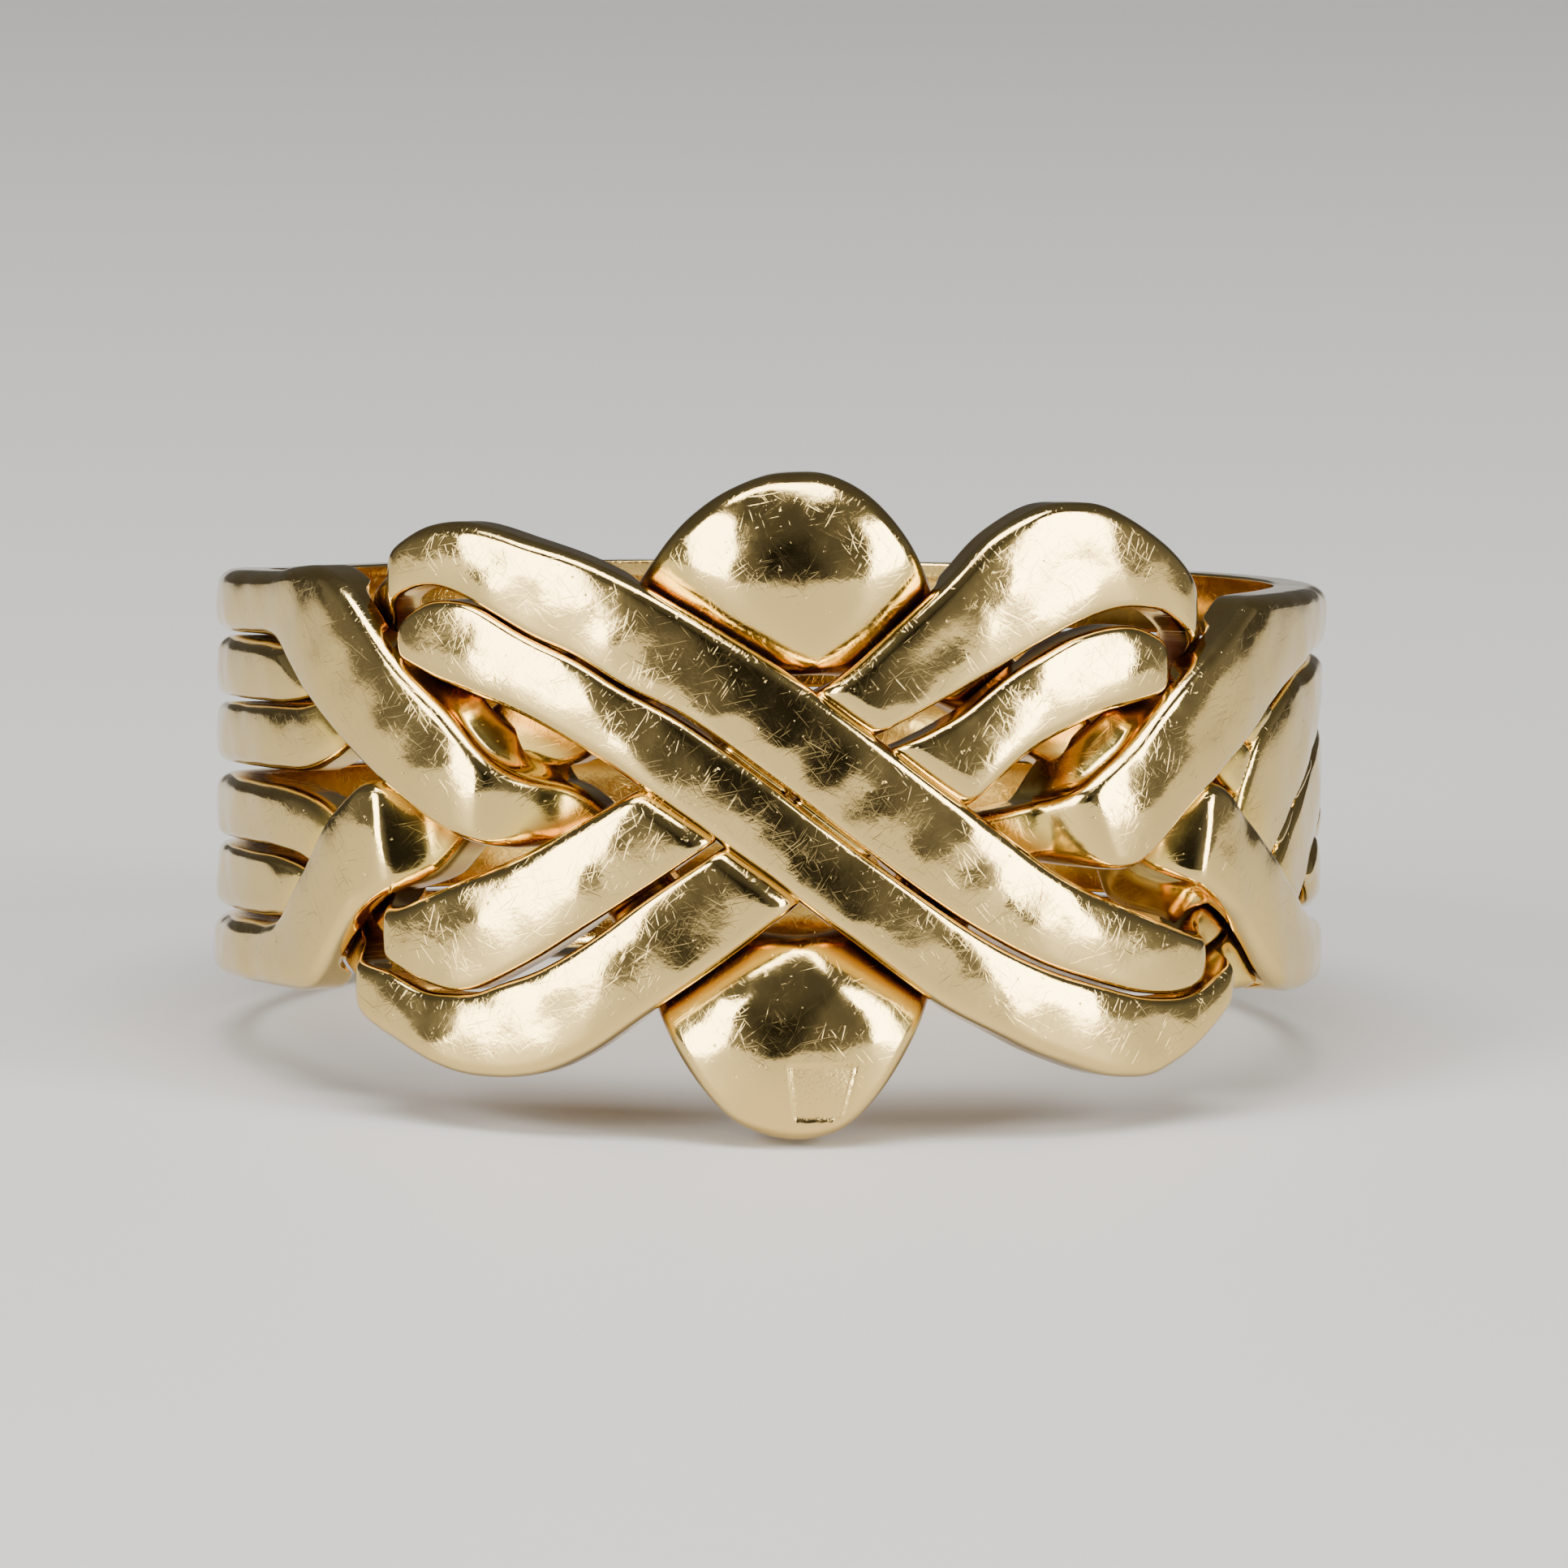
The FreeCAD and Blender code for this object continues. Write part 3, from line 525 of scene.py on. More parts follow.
# %% [markdown]
# ## The sunk field on the lower dome
# Near the tip of the lower dome a small field is sunk into the gold. It is bare, with straight
# sides that draw in towards the tip. Its floor is the face of the dome moved inwards, so one
# mask for it is all that is needed: the same mask gives the depth here and a duller finish later.

# %% A bare sunk field
Field = namedtuple("Field", "band left right top bottom left_draw right_draw depth")
FIELD = Field("first_band", left=-0.9, right=5.4, top=-4.60, bottom=-5.62,
              left_draw=0.66, right_draw=1.1, depth=0.085)
FIELD_STEP = 0.05      # width of the step round it


def field_mask(name, angle, height):
    """1 in the sunk field and 0 outside: a smooth step of the distance past its nearest side."""
    if name != FIELD.band:
        return 0 * height
    down = 1 - (height - FIELD.bottom) / (FIELD.top - FIELD.bottom)
    left = (FIELD.left + FIELD.left_draw * down - angle) * MM_PER_DEGREE
    right = (angle - FIELD.right + FIELD.right_draw * down) * MM_PER_DEGREE
    beyond = np.maximum(np.maximum(left, right), np.maximum(height - FIELD.top, FIELD.bottom - height))
    return 1 - smooth_step(beyond / FIELD_STEP + 0.5)


print("sunk field:", round((FIELD.right - FIELD.left) * MM_PER_DEGREE, 2), "mm wide at its top")

# %% [markdown]
# ## From radii to a closed skin
# The section of a band is a slab with rounded edges. Its points are laid out across the outside,
# down one side, back across the bore side and up the other, so every section has the same
# number of points and two neighbouring sections join with four-sided faces. The outer corners
# are quarter circles, the bore corners smaller ones. A Bevel modifier would need sharp edges to
# work on, and here the roundness changes along a band, so it is part of the formula.

# %% Where the sections are
WEAVE_SPAN = (-86.0, 106.0)      # angles between which the sections are close together
DOME_SPAN = (-20.0, 20.0)        # the same for the closest ones
WEAVE_STEP = 0.33                # degrees from one section to the next
DOME_STEP = 0.22
BACK_STEP = 1.6


def angles_round():
    """Angles of the sections: close together in the weave, wider at the back."""
    left = np.arange(WEAVE_SPAN[0], DOME_SPAN[0], WEAVE_STEP)
    domes = np.arange(*DOME_SPAN, DOME_STEP)
    right = np.arange(DOME_SPAN[1], WEAVE_SPAN[1], WEAVE_STEP)
    back = np.arange(WEAVE_SPAN[1], WEAVE_SPAN[0] + FULL_TURN, BACK_STEP)
    half_turn = FULL_TURN / 2
    return np.concatenate([left, domes, right, (back + half_turn) % FULL_TURN - half_turn])


def soften(field, passes):
    """Each pass replaces a value by a quarter, a half and a quarter of it and its neighbours."""
    for _ in range(passes):
        field = 0.25 * np.roll(field, 1, 0) + 0.5 * field + 0.25 * np.roll(field, -1, 0)
    return field


def between(start, end, shares):
    """Points from start to end, at shares of the way."""
    return start + (end - start) * shares


print("sections of a band:", len(angles_round()))

# %% Corners of a section
FILLET = 0.25          # rounding of the outer corners
CLOSE_FILLET = 0.15    # the same where two bands run side by side
TWIN_EDGES = {"second_band": "low", "third_band": "high", "fourth_band": "low", "fifth_band": "high"}
DEPTH_SHARE = 0.34     # most of a band's thickness that a corner takes
WIDTH_SHARE = 0.22     # most of its width
CORNER_PASSES = 4
Corners = namedtuple("Corners", "low high full")


def corner_radii(name, angle):
    """Radii of the two outer corners: the named one, or a share of the depth or the width."""
    route = routes[name]
    low, high = route.low.at(angle), route.high.at(angle)
    middle = (low + high) / 2
    thin = DEPTH_SHARE * (outside(name, angle, middle) - inside(name, angle, middle))
    narrow = WIDTH_SHARE * (high - low) / np.maximum(route.low.stretch(angle), route.high.stretch(angle))
    full = soften(np.minimum(np.minimum(FILLET, thin), narrow), CORNER_PASSES)
    close = np.minimum(full, CLOSE_FILLET)
    twin = TWIN_EDGES.get(name)
    return Corners(close if twin == "low" else full, close if twin == "high" else full, full)


print("bands with a close edge:", TWIN_EDGES)

# %% Sides that lean
Lean = namedtuple("Lean", "band start end neighbour way most")
UP, DOWN = 1, -1       # the upper or the lower side of a band
LEANS = [
    Lean("first_band", start=-44, end=-24, neighbour="third_band", way=UP, most=0.70),
    Lean("first_band", start=24, end=46, neighbour="fifth_band", way=UP, most=0.75),
    Lean("sixth_band", start=35, end=50, neighbour="second_band", way=DOWN, most=0.65)]
LEAN_RAMP = 3          # degrees over which a lean sets in
FOOT_GAP = 0.08        # from the foot of a leaning side to the neighbour


def foot_of(name, angle, way):
    """How far the foot of one side stands out: the room to the neighbour less the gap."""
    foot = 0 * angle
    for lean in LEANS:
        if lean.band == name and lean.way == way:
            mine, other = routes[name], routes[lean.neighbour]
            room = other.low.at(angle) - mine.high.at(angle)
            if way == DOWN:
                room = mine.low.at(angle) - other.high.at(angle)
            near = smooth_step((angle - lean.start) / LEAN_RAMP)
            near = near * smooth_step((lean.end - angle) / LEAN_RAMP)
            foot = foot + np.clip(room - FOOT_GAP, 0, lean.most) * near
    return foot


print(len(LEANS), "leaning sides")

# %% Across the outside
ARC_POINTS = 7
ARC = np.linspace(0.0, math.pi / 2, ARC_POINTS)
FACE_POINTS = dict.fromkeys(ROUTES, 24) | {"first_band": 72, "sixth_band": 48}
FACE_PASSES = 2
Face = namedtuple("Face", "height radius rim sunk")


def outer_face(name, angle, seed):
    """A quarter circle, the face and a quarter circle, from the lower to the upper edge.

    At an angle a of its arc, a quarter circle has come in by its radius times 1 less cos a and
    is still lower than the face by its radius times 1 less sin a.
    """
    route, corners = routes[name], corner_radii(name, angle)
    back = ARC[::-1]
    first = route.low.at(angle) + corners.low * (1 - np.cos(ARC)) * route.low.stretch(angle)
    last = route.high.at(angle) - corners.high * (1 - np.cos(back)) * route.high.stretch(angle)
    face = between(first[:, -1:], last[:, :1], np.linspace(0, 1, FACE_POINTS[name])[1:-1])
    height = np.concatenate([first, face, last], 1)
    drop = np.concatenate([corners.low * (1 - np.sin(ARC)), 0 * face, corners.high * (1 - np.sin(back))], 1)
    radius = soften(outside(name, angle, height), FACE_PASSES) + waves(angle, height, seed) - drop
    sunk = field_mask(name, angle, height)
    return Face(height, radius - FIELD.depth * sunk, drop / corners.full, sunk)


print("points across a face:", FACE_POINTS)

# %% Across the bore side
BORE_FILLET = 0.07     # rounding of the corners beside the finger
BORE_ARC = ARC[::2]
BORE_POINTS = 12
BORE_PASSES = 3
LEAST_SIDE = 0.04      # height that is always left to the side of a band


def bore_face(name, angle, outer):
    """Heights and radii of the bore side, from the upper foot back to the lower one."""
    route, back = routes[name], BORE_ARC[::-1]
    upper = route.high.at(angle) + foot_of(name, angle, UP)
    lower = route.low.at(angle) - foot_of(name, angle, DOWN)
    first = upper - BORE_FILLET * (1 - np.cos(BORE_ARC))
    last = lower + BORE_FILLET * (1 - np.cos(back))
    face = between(first[:, -1:], last[:, :1], np.linspace(0, 1, BORE_POINTS)[1:-1])
    height = np.concatenate([first, face, last], 1)
    corner, corner_back = BORE_FILLET * (1 - np.sin(BORE_ARC)), BORE_FILLET * (1 - np.sin(back))
    raised = np.concatenate([corner, np.zeros(face.shape[1]), corner_back])
    radius = soften(inside(name, angle, route.nearest(angle, height)), BORE_PASSES) + raised
    count = len(BORE_ARC)
    radius[:, :count] = np.minimum(radius[:, :count], outer[:, -1:] - LEAST_SIDE)
    radius[:, -count:] = np.minimum(radius[:, -count:], outer[:, :1] - LEAST_SIDE)
    return height, radius


print("points across the bore side:", 2 * len(BORE_ARC) + BORE_POINTS - 2)

# %% [markdown]
# ## How deep a point lies
# The gold is painted darker and warmer in the gaps between the bands. This is painted shade where the
# light is lost between them. A ray-traced ambient occlusion would show the same, but it has to be
# baked before it can leave Blender. Here the depth below the neighbours is known by formula.

# %% Recesses
FOOT_DEEP = 0.85       # recess of a foot that stands out
FOOT_FROM = 0.04       # distance from the edge where it begins
FOOT_RAMP = 0.2        # and over which it grows
RISE_FROM = 0.08       # rise of a neighbour that begins to shade
RISE_RAMP = 0.55       # and over which the shade grows
SHADE_REACH = 0.75     # how far from a neighbour the shade goes


# The recess is the mask of the painted shade in the gaps, and of a duller finish there.
def recess_of(name, angle, radius, height):
    """1 deep in a gap and 0 on an open face.

    It is the greatest, over all other bands, of the share that the other stands higher times e
    to minus the square of the distance from it.
    """
    foot = np.clip((routes[name].beyond(angle, height) - FOOT_FROM) / FOOT_RAMP, 0, 1)
    deepest = FOOT_DEEP * foot
    for other, route in routes.items():
        if other == name:
            continue
        away = np.maximum(route.beyond(angle, height), 0.0)
        rise = outside(other, angle, route.nearest(angle, height)) - radius
        share = np.clip((rise - RISE_FROM) / RISE_RAMP, 0.0, 1.0)
        deepest = np.maximum(deepest, share * np.exp(-(away / SHADE_REACH) ** 2))
    return deepest


print("shade of a neighbour reaches", SHADE_REACH, "mm")

# %% The closed skin
SIDE_STEPS = np.array([0.2, 0.4, 0.6, 0.8])
Skin = namedtuple("Skin", "points recess edge sunk around")


def all_round(outer, bore):
    """Values over the outside and over the bore side, joined by the two straight sides."""
    down = between(outer[:, -1:], bore[:, :1], SIDE_STEPS)
    up = between(bore[:, -1:], outer[:, :1], SIDE_STEPS)
    return np.concatenate([outer, down, bore, up], 1)


def filled_up(values, columns):
    """Values of the outside, with 0 for the other points of each section."""
    return np.pad(values, ((0, 0), (0, columns - values.shape[1])))


def band_skin(name, seed):
    """The closed skin of a band on a grid of sections, in metres.

    A point at an angle, a radius and a height lies at the radius times the sine to the right and
    the radius times the cosine to the front.
    """
    angle = angles_round()[:, None]
    face = outer_face(name, angle, seed)
    bore_height, bore_radius = bore_face(name, angle, face.radius)
    radius = all_round(face.radius, bore_radius)
    height = all_round(face.height, bore_height)
    turn = np.radians(angle + 0 * radius)
    points = np.stack([radius * np.sin(turn), -radius * np.cos(turn), height], -1)
    around = np.stack([turn * TOP, height], -1)
    columns = radius.shape[1]
    return Skin(to_floor(points), recess_of(name, angle, radius, height),
                filled_up(face.rim, columns), filled_up(face.sunk, columns), around)


print("points in each side:", len(SIDE_STEPS))

# %% [markdown]
# ## Meshes
# The grid is closed both ways, round the finger and round the section, so the last row joins the
# first one again. The arrays go into the mesh in one call each. Three numbers are kept with
# every point for the gold: how deep it lies, how near a rounded edge, and how far it is in the
# sunk field. A map of the unrolled ring, in millimetres, lets fine scratches run over the surface.

# %% Put a grid into a mesh


def closed_grid_faces(rows, columns):
    """Corner numbers of the faces of a closed grid: row times columns, plus column."""
    row, column = np.meshgrid(np.arange(rows), np.arange(columns), indexing="ij")
    next_row, next_column = (row + 1) % rows, (column + 1) % columns
    corners = [row * columns + column, next_row * columns + column,
               next_row * columns + next_column, row * columns + next_column]
    return np.stack(corners, -1).reshape(-1, 4)


def facing_out(points, faces):
    """The faces, turned round if most of them look towards the middle of the points."""
    corner = points[faces]
    normal = np.cross(corner[:, 2] - corner[:, 0], corner[:, 3] - corner[:, 1])
    outward = ((corner.mean(1) - points.mean(0)) * normal).sum() > 0
    return faces if outward else faces[:, ::-1]


def mesh_of_faces(name, points, faces):
    """A smooth mesh of four-sided faces."""
    mesh = bpy.data.meshes.new(name)
    mesh.vertices.add(len(points))
    mesh.vertices.foreach_set("co", points.astype(np.float32).ravel())
    mesh.loops.add(faces.size)
    mesh.loops.foreach_set("vertex_index", faces.astype(np.int32).ravel())
    mesh.polygons.add(len(faces))
    mesh.polygons.foreach_set("loop_start", np.arange(0, faces.size, 4, dtype=np.int32))
    mesh.polygons.foreach_set("use_smooth", np.ones(len(faces), bool))
    mesh.update(calc_edges=True)
    return mesh


print("faces of a closed grid of 3 by 4:", len(closed_grid_faces(3, 4)))

# %% Numbers and a map for the gold


def add_attribute(mesh, name, values):
    """A number for every point of a mesh."""
    attribute = mesh.attributes.new(name, "FLOAT", "POINT")
    attribute.data.foreach_set("value", np.ascontiguousarray(values, np.float32).ravel())


def add_unrolled_map(mesh, around, faces):
    """The unrolled map. A face that joins the two ends of the ring is kept in one piece."""
    unrolled = around.reshape(-1, 2)[faces.ravel()].reshape(-1, 4, 2)
    once_round = 2 * math.pi * TOP
    span = unrolled[..., 0].max(1) - unrolled[..., 0].min(1)
    torn = (span[:, None] > once_round / 2) & (unrolled[..., 0] < 0)
    unrolled[..., 0] += np.where(torn, once_round, 0)
    layer = mesh.uv_layers.new(name="unrolled")
    layer.data.foreach_set("uv", unrolled.astype(np.float32).ravel())


def piece_from_skin(name, skin, material):
    """A mesh object from a closed grid of points, with its numbers, map and material."""
    points = skin.points.reshape(-1, 3)
    faces = facing_out(points, closed_grid_faces(*skin.points.shape[:2]))
    mesh = mesh_of_faces(name, points, faces)
    for attribute, values in (("recess", skin.recess), ("edge", skin.edge), ("sunk", skin.sunk)):
        add_attribute(mesh, attribute, values)
    add_unrolled_map(mesh, skin.around, faces)
    mesh.materials.append(material)
    piece = bpy.data.objects.new(name, mesh)
    bpy.context.scene.collection.objects.link(piece)
    return piece


print("once round the weave:", round(2 * math.pi * TOP, 1), "mm")

# %% [markdown]
# ## The gold
# Polished gold is a metal with a low roughness, but a ring that has been worn shows more: fine
# scratches in all directions, small pits and paler edges. On the edges a painted highlight lies together
# with the rub of cloth and skin. Between two bands a deep amber is painted as painted shade. Scratches
# and pits could be painted as an image. Noise stretched along different directions of the unrolled
# map needs none.

# %% Helpers for shader nodes
Noise = namedtuple("Noise", "scale detail rough")
Step = namedtuple("Step", "start end")


def socket(group, name, kind, way):
    """A named input or output of a node group."""
    return group.interface.new_socket(name=name, in_out=way, socket_type=kind)


def join(tree, value, target):
    """A number put on an input, or an output linked to it."""
    if isinstance(value, bpy.types.NodeSocket):
        tree.links.new(value, target)
    else:
        target.default_value = value


def math_node(tree, operation, *values):
    """A Math node with numbers or outputs as its inputs, and its output."""
    node = tree.nodes.new("ShaderNodeMath")
    node.operation = operation
    for value, target in zip(values, node.inputs):
        join(tree, value, target)
    return node.outputs[0]


def noise_node(tree, vector, noise):
    """A Noise Texture, and its value."""
    node = tree.nodes.new("ShaderNodeTexNoise")
    node.inputs["Scale"].default_value = noise.scale
    node.inputs["Detail"].default_value = noise.detail
    node.inputs["Roughness"].default_value = noise.rough
    tree.links.new(vector, node.inputs["Vector"])
    return node.outputs["Fac"]


def range_node(tree, value, step, low=0.0, high=1.0):
    """A Map Range node: low up to the start of the step, high from its end, straight between."""
    node = tree.nodes.new("ShaderNodeMapRange")
    tree.links.new(value, node.inputs["Value"])
    for name, number in zip(("From Min", "From Max", "To Min", "To Max"), (*step, low, high)):
        node.inputs[name].default_value = number
    return node.outputs["Result"]


def turned(tree, vector, degrees, stretch):
    """The unrolled map turned by an angle and drawn out along it, for scratches."""
    node = tree.nodes.new("ShaderNodeMapping")
    node.inputs["Rotation"].default_value = (0, 0, math.radians(degrees))
    tree.links.new(vector, node.inputs["Vector"])
    drawn = tree.nodes.new("ShaderNodeMapping")
    drawn.inputs["Scale"].default_value = (1.0 / stretch, 1.0, 1.0)
    tree.links.new(node.outputs["Vector"], drawn.inputs["Vector"])
    return drawn.outputs["Vector"]


print("helpers for nodes are ready")

# %% Scratches and pits, as a group
Scratch = namedtuple("Scratch", "degrees stretch scale")
SCRATCHES = [
    Scratch(28.0, 14.0, 13.0), Scratch(-37.0, 18.0, 15.0), Scratch(71.0, 13.0, 17.0),
    Scratch(-76.0, 20.0, 18.0), Scratch(-12.0, 22.0, 21.0), Scratch(49.0, 26.0, 24.0),
    Scratch(-58.0, 20.0, 27.0)]
SCRATCH_DETAIL, SCRATCH_ROUGH = 2.0, 0.55
SCRATCH_STEP = Step(0.64, 0.72)
PATCHES = Noise(scale=0.9, detail=2.0, rough=0.5)
PATCH_STEP = Step(0.36, 0.58)
PATCH_LEAST = 0.15     # how much of the scratches is left between the scratched patches
PITS = Noise(scale=5.5, detail=3.0, rough=0.7)
PIT_STEP = Step(0.67, 0.76)
BLOTCHES = Noise(scale=1.6, detail=4.0, rough=0.6)


def scratches_group():
    """Masks of scratches and pits, and soft blotches, over the unrolled map in millimetres.

    A scratch is what is left of a stretched noise above a high step.
    """
    group = bpy.data.node_groups.new("worn_polish", "ShaderNodeTree")
    socket(group, "Map", "NodeSocketVector", "INPUT")
    for name in ("Scratches", "Pits", "Blotches"):
        socket(group, name, "NodeSocketFloat", "OUTPUT")
    start = group.nodes.new("NodeGroupInput").outputs["Map"]
    end = group.nodes.new("NodeGroupOutput")
    total = None
    for scratch in SCRATCHES:
        drawn = turned(group, start, scratch.degrees, scratch.stretch)
        noise = Noise(scratch.scale, SCRATCH_DETAIL, SCRATCH_ROUGH)
        line = range_node(group, noise_node(group, drawn, noise), SCRATCH_STEP)
        total = line if total is None else math_node(group, "MAXIMUM", total, line)
    patchy = range_node(group, noise_node(group, start, PATCHES), PATCH_STEP, low=PATCH_LEAST)
    group.links.new(math_node(group, "MULTIPLY", total, patchy), end.inputs["Scratches"])
    group.links.new(range_node(group, noise_node(group, start, PITS), PIT_STEP), end.inputs["Pits"])
    group.links.new(noise_node(group, start, BLOTCHES), end.inputs["Blotches"])
    return group


worn_polish = scratches_group()
print("node group:", worn_polish.name, "with", len(worn_polish.nodes), "nodes")

# %% Colours of the gold
GOLD = (0.74, 0.53, 0.19, 1.0)       # open faces
HONEY = (0.88, 0.62, 0.16, 1.0)      # painted warm reflected light beside a taller band
AMBER = (0.33, 0.14, 0.014, 1.0)     # painted shade deep in a gap, and the colour of the pits
PALE = (0.84, 0.66, 0.31, 1.0)       # edges paled by rub and by a painted highlight
HONEY_STEP = Step(0.06, 0.40)        # recess over which the painted shade turns the gold to honey
AMBER_STEP = Step(0.42, 0.90)        # and honey to amber
DEEP_STEP = Step(0.10, 0.80)         # recess over which the edges lose their painted highlight and rub
EDGE_STEP = Step(0.1, 0.6)
RUB_AND_HIGHLIGHT = 0.35                        # most of the pale colour on an edge, painted highlight and rub
PIT_COLOUR = 0.35                    # most of the amber in a pit
MIX_COLOURS = (6, 7)                 # inputs of a Mix node that take its two colours
MIX_RESULT = 2


def mixed(tree, factor, *colours):
    """A colour between two, by a factor."""
    node = tree.nodes.new("ShaderNodeMix")
    node.data_type = "RGBA"
    tree.links.new(factor, node.inputs["Factor"])
    for place, colour in zip(MIX_COLOURS, colours):
        join(tree, colour, node.inputs[place])
    return node.outputs[MIX_RESULT]


def gold_colour(tree, recess, edge, pits):
    """Painted shade from gold to honey to amber with the depth, pale on open edges as a painted highlight
    with rub, and amber in the pits.
    """
    # Painted shade: the gold turns warmer, then darker, the deeper a point lies in a gap.
    colour = mixed(tree, range_node(tree, recess, HONEY_STEP), GOLD, HONEY)
    colour = mixed(tree, range_node(tree, recess, AMBER_STEP), colour, AMBER)
    # Painted highlight and rub: the rounded edges turn paler, less so deeper in a gap.
    opened = math_node(tree, "SUBTRACT", 1.0, range_node(tree, recess, DEEP_STEP))
    rub_and_highlight = math_node(tree, "MULTIPLY", range_node(tree, edge, EDGE_STEP, high=RUB_AND_HIGHLIGHT), opened)
    colour = mixed(tree, rub_and_highlight, colour, PALE)
    return mixed(tree, math_node(tree, "MULTIPLY", pits, PIT_COLOUR), colour, AMBER)


print("colours:", GOLD, HONEY, AMBER, PALE)

# %% Gloss and relief of the gold
GLOSS = Step(0.07, 0.15)             # roughness of the smoothest and of the dullest blotch
BLOTCH_STEP = Step(0.35, 0.65)
SCRATCH_DULL, DEEP_DULL, SUNK_DULL = 0.08, 0.12, 0.15
SCRATCH_RISE, PIT_RISE, BLOTCH_RISE, GRAIN_RISE = -0.14, -0.8, 0.9, 2.0
GRAIN = Noise(scale=14.0, detail=3.0, rough=0.6)
BUMP_STRENGTH = 0.8
BUMP_DISTANCE = 0.000012             # metres for a relief of 1


def weighted_sum(tree, start, *parts):
    """An output plus other outputs, each times its own number."""
    for value, weight in parts:
        start = math_node(tree, "ADD", start, math_node(tree, "MULTIPLY", value, weight))
    return start


def named_value(tree, name):
    """The numbers kept with the points of a mesh."""
    node = tree.nodes.new("ShaderNodeAttribute")
    node.attribute_name = name
    return node.outputs["Fac"]


def gold_material():
    """Worn polished gold: its colour, gloss and fine relief from the group and the recess."""
    material = bpy.data.materials.new("gold")
    material.use_nodes = True
    tree = material.node_tree
    shader = tree.nodes["Principled BSDF"]
    shader.inputs["Metallic"].default_value = 1.0
    unrolled = tree.nodes.new("ShaderNodeUVMap")
    unrolled.uv_map = "unrolled"
    worn = tree.nodes.new("ShaderNodeGroup")
    worn.node_tree = worn_polish
    tree.links.new(unrolled.outputs["UV"], worn.inputs["Map"])
    scratches, pits, blotches = (worn.outputs[name] for name in ("Scratches", "Pits", "Blotches"))
    recess, edge, sunk = (named_value(tree, name) for name in ("recess", "edge", "sunk"))
    tree.links.new(gold_colour(tree, recess, edge, pits), shader.inputs["Base Color"])

    deep = range_node(tree, recess, DEEP_STEP)
    gloss = weighted_sum(tree, range_node(tree, blotches, BLOTCH_STEP, *GLOSS),
                         (scratches, SCRATCH_DULL), (deep, DEEP_DULL), (sunk, SUNK_DULL))
    tree.links.new(gloss, shader.inputs["Roughness"])

    grain = math_node(tree, "MULTIPLY", noise_node(tree, unrolled.outputs["UV"], GRAIN), sunk)
    relief = weighted_sum(tree, math_node(tree, "MULTIPLY", scratches, SCRATCH_RISE),
                          (pits, PIT_RISE), (blotches, BLOTCH_RISE), (grain, GRAIN_RISE))
    bump = tree.nodes.new("ShaderNodeBump")
    bump.inputs["Strength"].default_value = BUMP_STRENGTH
    bump.inputs["Distance"].default_value = BUMP_DISTANCE
    tree.links.new(relief, bump.inputs["Height"])
    tree.links.new(bump.outputs["Normal"], shader.inputs["Normal"])
    return material


gold = gold_material()
print("material:", gold.name, "with", len(gold.node_tree.nodes), "nodes")

# %% [markdown]
# ## The six bands
# Each band replaces the plain part of the same name, rides with the ring and takes the gold.
# The six stay apart, as on the real ring, where each band is loose.

# %% Make the bands
for seed, name in enumerate(ROUTES):
    skin = band_skin(name, seed)
    piece = piece_from_skin("gold_" + name, skin, gold)
    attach(piece, "root")
    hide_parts(name)
    print(name, "points:", skin.points.shape[:2], "deepest:", round(float(skin.recess.max()), 2))

# %% [markdown]
# ## The floor
# The ring lies on a plain pale floor. A floor that ends would show a horizon behind the ring,
# so it curves up far behind it and goes on as a wall.

# %% Floor
FLOOR_SIZE = 3.0       # half its width, and how far it comes to the front, in metres
FLAT_TO = 1.2          # how far behind the ring it begins to rise
BEND = 0.8             # radius of the curve
WALL = 3.0             # height of the wall
FLOOR_COLOUR = (0.60, 0.59, 0.57, 1.0)
FLOOR_ROUGHNESS = 0.55
ACROSS_POINTS, FLAT_POINTS, BEND_POINTS = 3, 6, 24


def floor_surface():
    """A flat sheet that turns up along a quarter circle: sine to the back, 1 less cosine up."""
    across = np.linspace(-FLOOR_SIZE, FLOOR_SIZE, ACROSS_POINTS)
    flat = np.linspace(-FLOOR_SIZE, FLAT_TO, FLAT_POINTS)
    bend = np.linspace(0, math.pi / 2, BEND_POINTS)[1:]
    back = np.concatenate([flat, FLAT_TO + BEND * np.sin(bend), [FLAT_TO + BEND]])
    rise = np.concatenate([0 * flat, BEND * (1 - np.cos(bend)), [WALL]])
    x, y = np.meshgrid(across, back, indexing="ij")
    return np.stack([x, y, np.broadcast_to(rise, x.shape)], -1)


def open_grid_faces(rows, columns):
    """Corner numbers of the faces of a grid that is open on all four sides."""
    number = np.arange(rows * columns).reshape(rows, columns)
    corners = [number[:-1, :-1], number[1:, :-1], number[1:, 1:], number[:-1, 1:]]
    return np.stack(corners, -1).reshape(-1, 4)


sheet = floor_surface()
floor_mesh = mesh_of_faces("floor", sheet.reshape(-1, 3), open_grid_faces(*sheet.shape[:2]))
floor = bpy.data.objects.new("floor", floor_mesh)
bpy.context.scene.collection.objects.link(floor)
floor_material = bpy.data.materials.new("pale_floor")
floor_material.use_nodes = True
floor_shader = floor_material.node_tree.nodes["Principled BSDF"]
floor_shader.inputs["Base Color"].default_value = FLOOR_COLOUR
floor_shader.inputs["Roughness"].default_value = FLOOR_ROUGHNESS
floor_mesh.materials.append(floor_material)
print("floor:", len(floor_mesh.polygons), "faces")

# %% [markdown]
# ## The light
# Gold shows what is round it. The light is two tall soft panels at the sides and one above,
# which draw the long bright streaks on the bands. The surroundings are dim: palest just above
# the horizon, and nearly dark in front, as a studio is behind the camera.

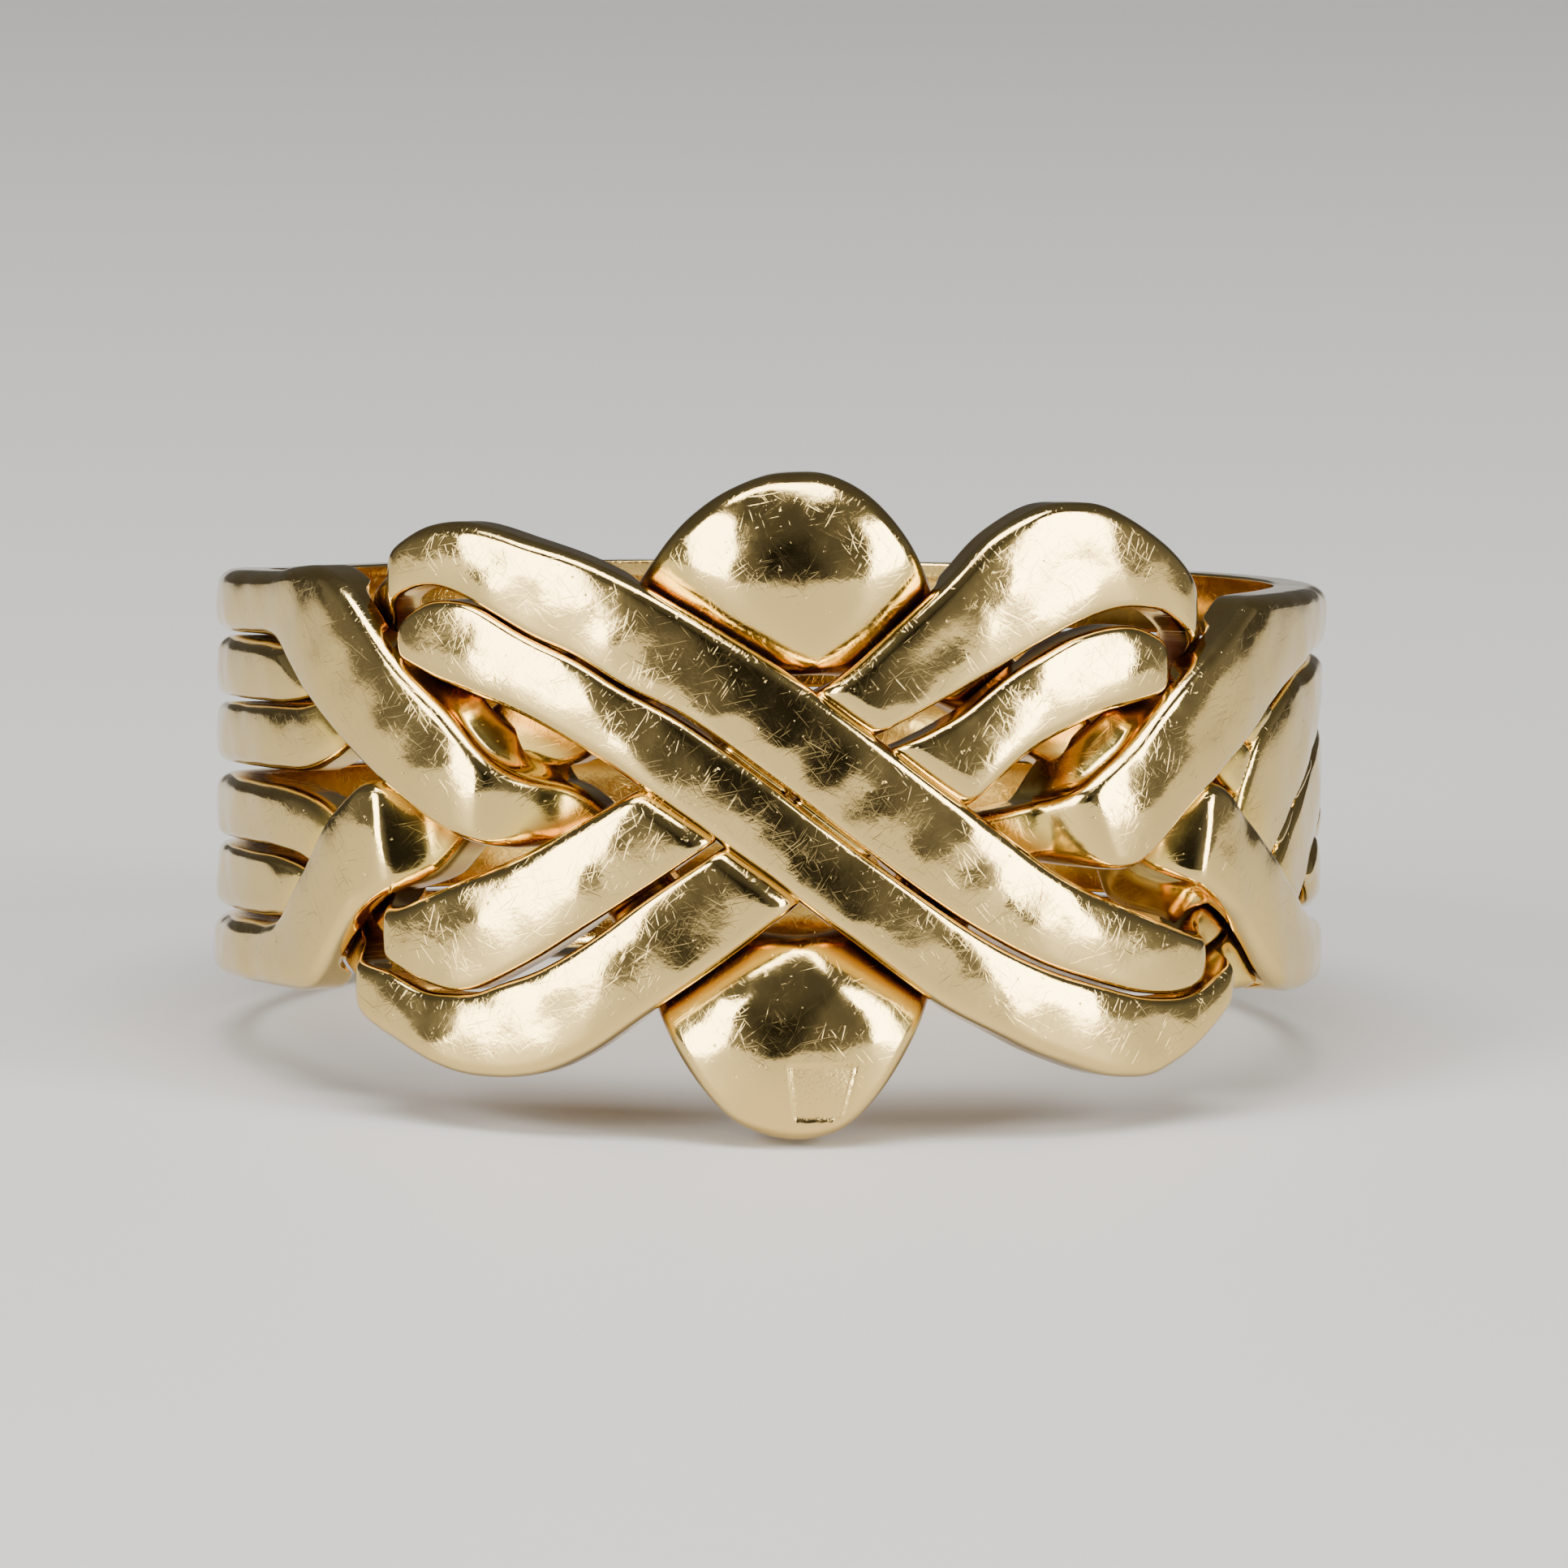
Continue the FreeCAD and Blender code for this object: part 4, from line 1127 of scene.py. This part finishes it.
# %% Panels
Panel = namedtuple("Panel", "name place size power")
AIM = Vector((0.0, -0.006, 0.006))
PANELS = [
    Panel("left_panel", (-0.27, -0.24, 0.13), (0.17, 0.30), 2.3),
    Panel("right_panel", (0.29, -0.21, 0.12), (0.14, 0.28), 2.0),
    Panel("top_panel", (-0.02, -0.10, 0.36), (0.34, 0.14), 2.1)]
for panel in PANELS:
    light = bpy.data.lights.new(panel.name, "AREA")
    light.shape = "RECTANGLE"
    light.size, light.size_y = panel.size
    light.energy = panel.power
    lamp = bpy.data.objects.new(panel.name, light)
    lamp.location = panel.place
    lamp.rotation_euler = (AIM - Vector(panel.place)).to_track_quat("-Z", "Y").to_euler()
    bpy.context.scene.collection.objects.link(lamp)
print("panels:", [(panel.name, panel.power) for panel in PANELS])

# %% Surroundings
SKY_COLOUR = (0.84, 0.84, 0.86, 1.0)
SKY_STEP = Step(0.02, 0.55)          # upward part of a direction, from the horizon up
HORIZON_GLOW, UPPER_GLOW = 0.26, 0.12
FRONT_STEP = Step(0.14, 0.40)        # sideward part, from the dark front to the bright sides
FRONT_SHADE = 0.12                   # what is left of the glow in front
BEHIND_STEP = Step(-0.6, 0.0)        # backward part, from the front to behind
ABOVE_STEP = Step(0.30, 0.60)        # upward part, above which the front isn't dark either


def surroundings():
    """A world whose glow is that of the height, times the largest of three open shares."""
    world = bpy.data.worlds.new("studio")
    world.use_nodes = True
    sky = world.node_tree
    parts = sky.nodes.new("ShaderNodeSeparateXYZ")
    direction = sky.nodes.new("ShaderNodeTexCoord").outputs["Generated"]
    sky.links.new(direction, parts.inputs["Vector"])
    right, back, up = (parts.outputs[axis] for axis in "XYZ")
    glow = range_node(sky, up, SKY_STEP, HORIZON_GLOW, UPPER_GLOW)
    aside = math_node(sky, "ABSOLUTE", right)
    shade = range_node(sky, aside, FRONT_STEP, low=FRONT_SHADE)
    for value, step in ((back, BEHIND_STEP), (up, ABOVE_STEP)):
        shade = math_node(sky, "MAXIMUM", shade, range_node(sky, value, step))
    background = sky.nodes["Background"]
    background.inputs["Color"].default_value = SKY_COLOUR
    sky.links.new(math_node(sky, "MULTIPLY", glow, shade), background.inputs["Strength"])
    return world


bpy.context.scene.world = surroundings()
print("world:", bpy.context.scene.world.name)

# %% [markdown]
# ## Camera
# The photograph looks at the weave from the front, a little from the left and a few degrees
# above the plane of the ring, through a long lens. Its scale at the ring gives the focal length:
# the share of the frame that a millimetre fills, times the distance and the sensor's width.

# %% Camera
CAMERA_RISE = math.radians(3.1)      # above the plane of the ring
CAMERA_LEFT = math.radians(2.9)      # left of the middle of the weave
CAMERA_ROLL = math.radians(0.8)
CAMERA_AWAY = 250.0                  # mm from the middle of the bore
FRAME_PIXELS = 1932                  # width and height of the photograph
PIXELS_PER_MM = 64.6                 # its scale at the middle of the bore
MIDDLE_PIXEL = (948, 961)            # where the middle of the bore is in it
SENSOR = 36.0                        # mm
NEAREST = 0.01                       # metres
toward = np.array([-math.sin(CAMERA_LEFT) * math.cos(CAMERA_RISE),
                   -math.cos(CAMERA_LEFT) * math.cos(CAMERA_RISE), math.sin(CAMERA_RISE)])
camera_data = bpy.data.cameras.new("camera")
camera_data.sensor_width = SENSOR
camera_data.lens = PIXELS_PER_MM * CAMERA_AWAY / FRAME_PIXELS * SENSOR
camera_data.shift_x = (FRAME_PIXELS / 2 - MIDDLE_PIXEL[0]) / FRAME_PIXELS
camera_data.shift_y = (MIDDLE_PIXEL[1] - FRAME_PIXELS / 2) / FRAME_PIXELS
camera_data.clip_start = NEAREST
camera = bpy.data.objects.new("camera", camera_data)
eye = Vector(to_floor(toward * CAMERA_AWAY))
target = Vector(to_floor(np.zeros(3)))
turn = (target - eye).to_track_quat("-Z", "Y").to_matrix().to_4x4()
camera.matrix_world = Matrix.Translation(eye) @ turn @ Matrix.Rotation(CAMERA_ROLL, 4, "Z")
bpy.context.scene.collection.objects.link(camera)
bpy.context.scene.camera = camera
print("camera lens:", round(camera_data.lens, 1), "mm")
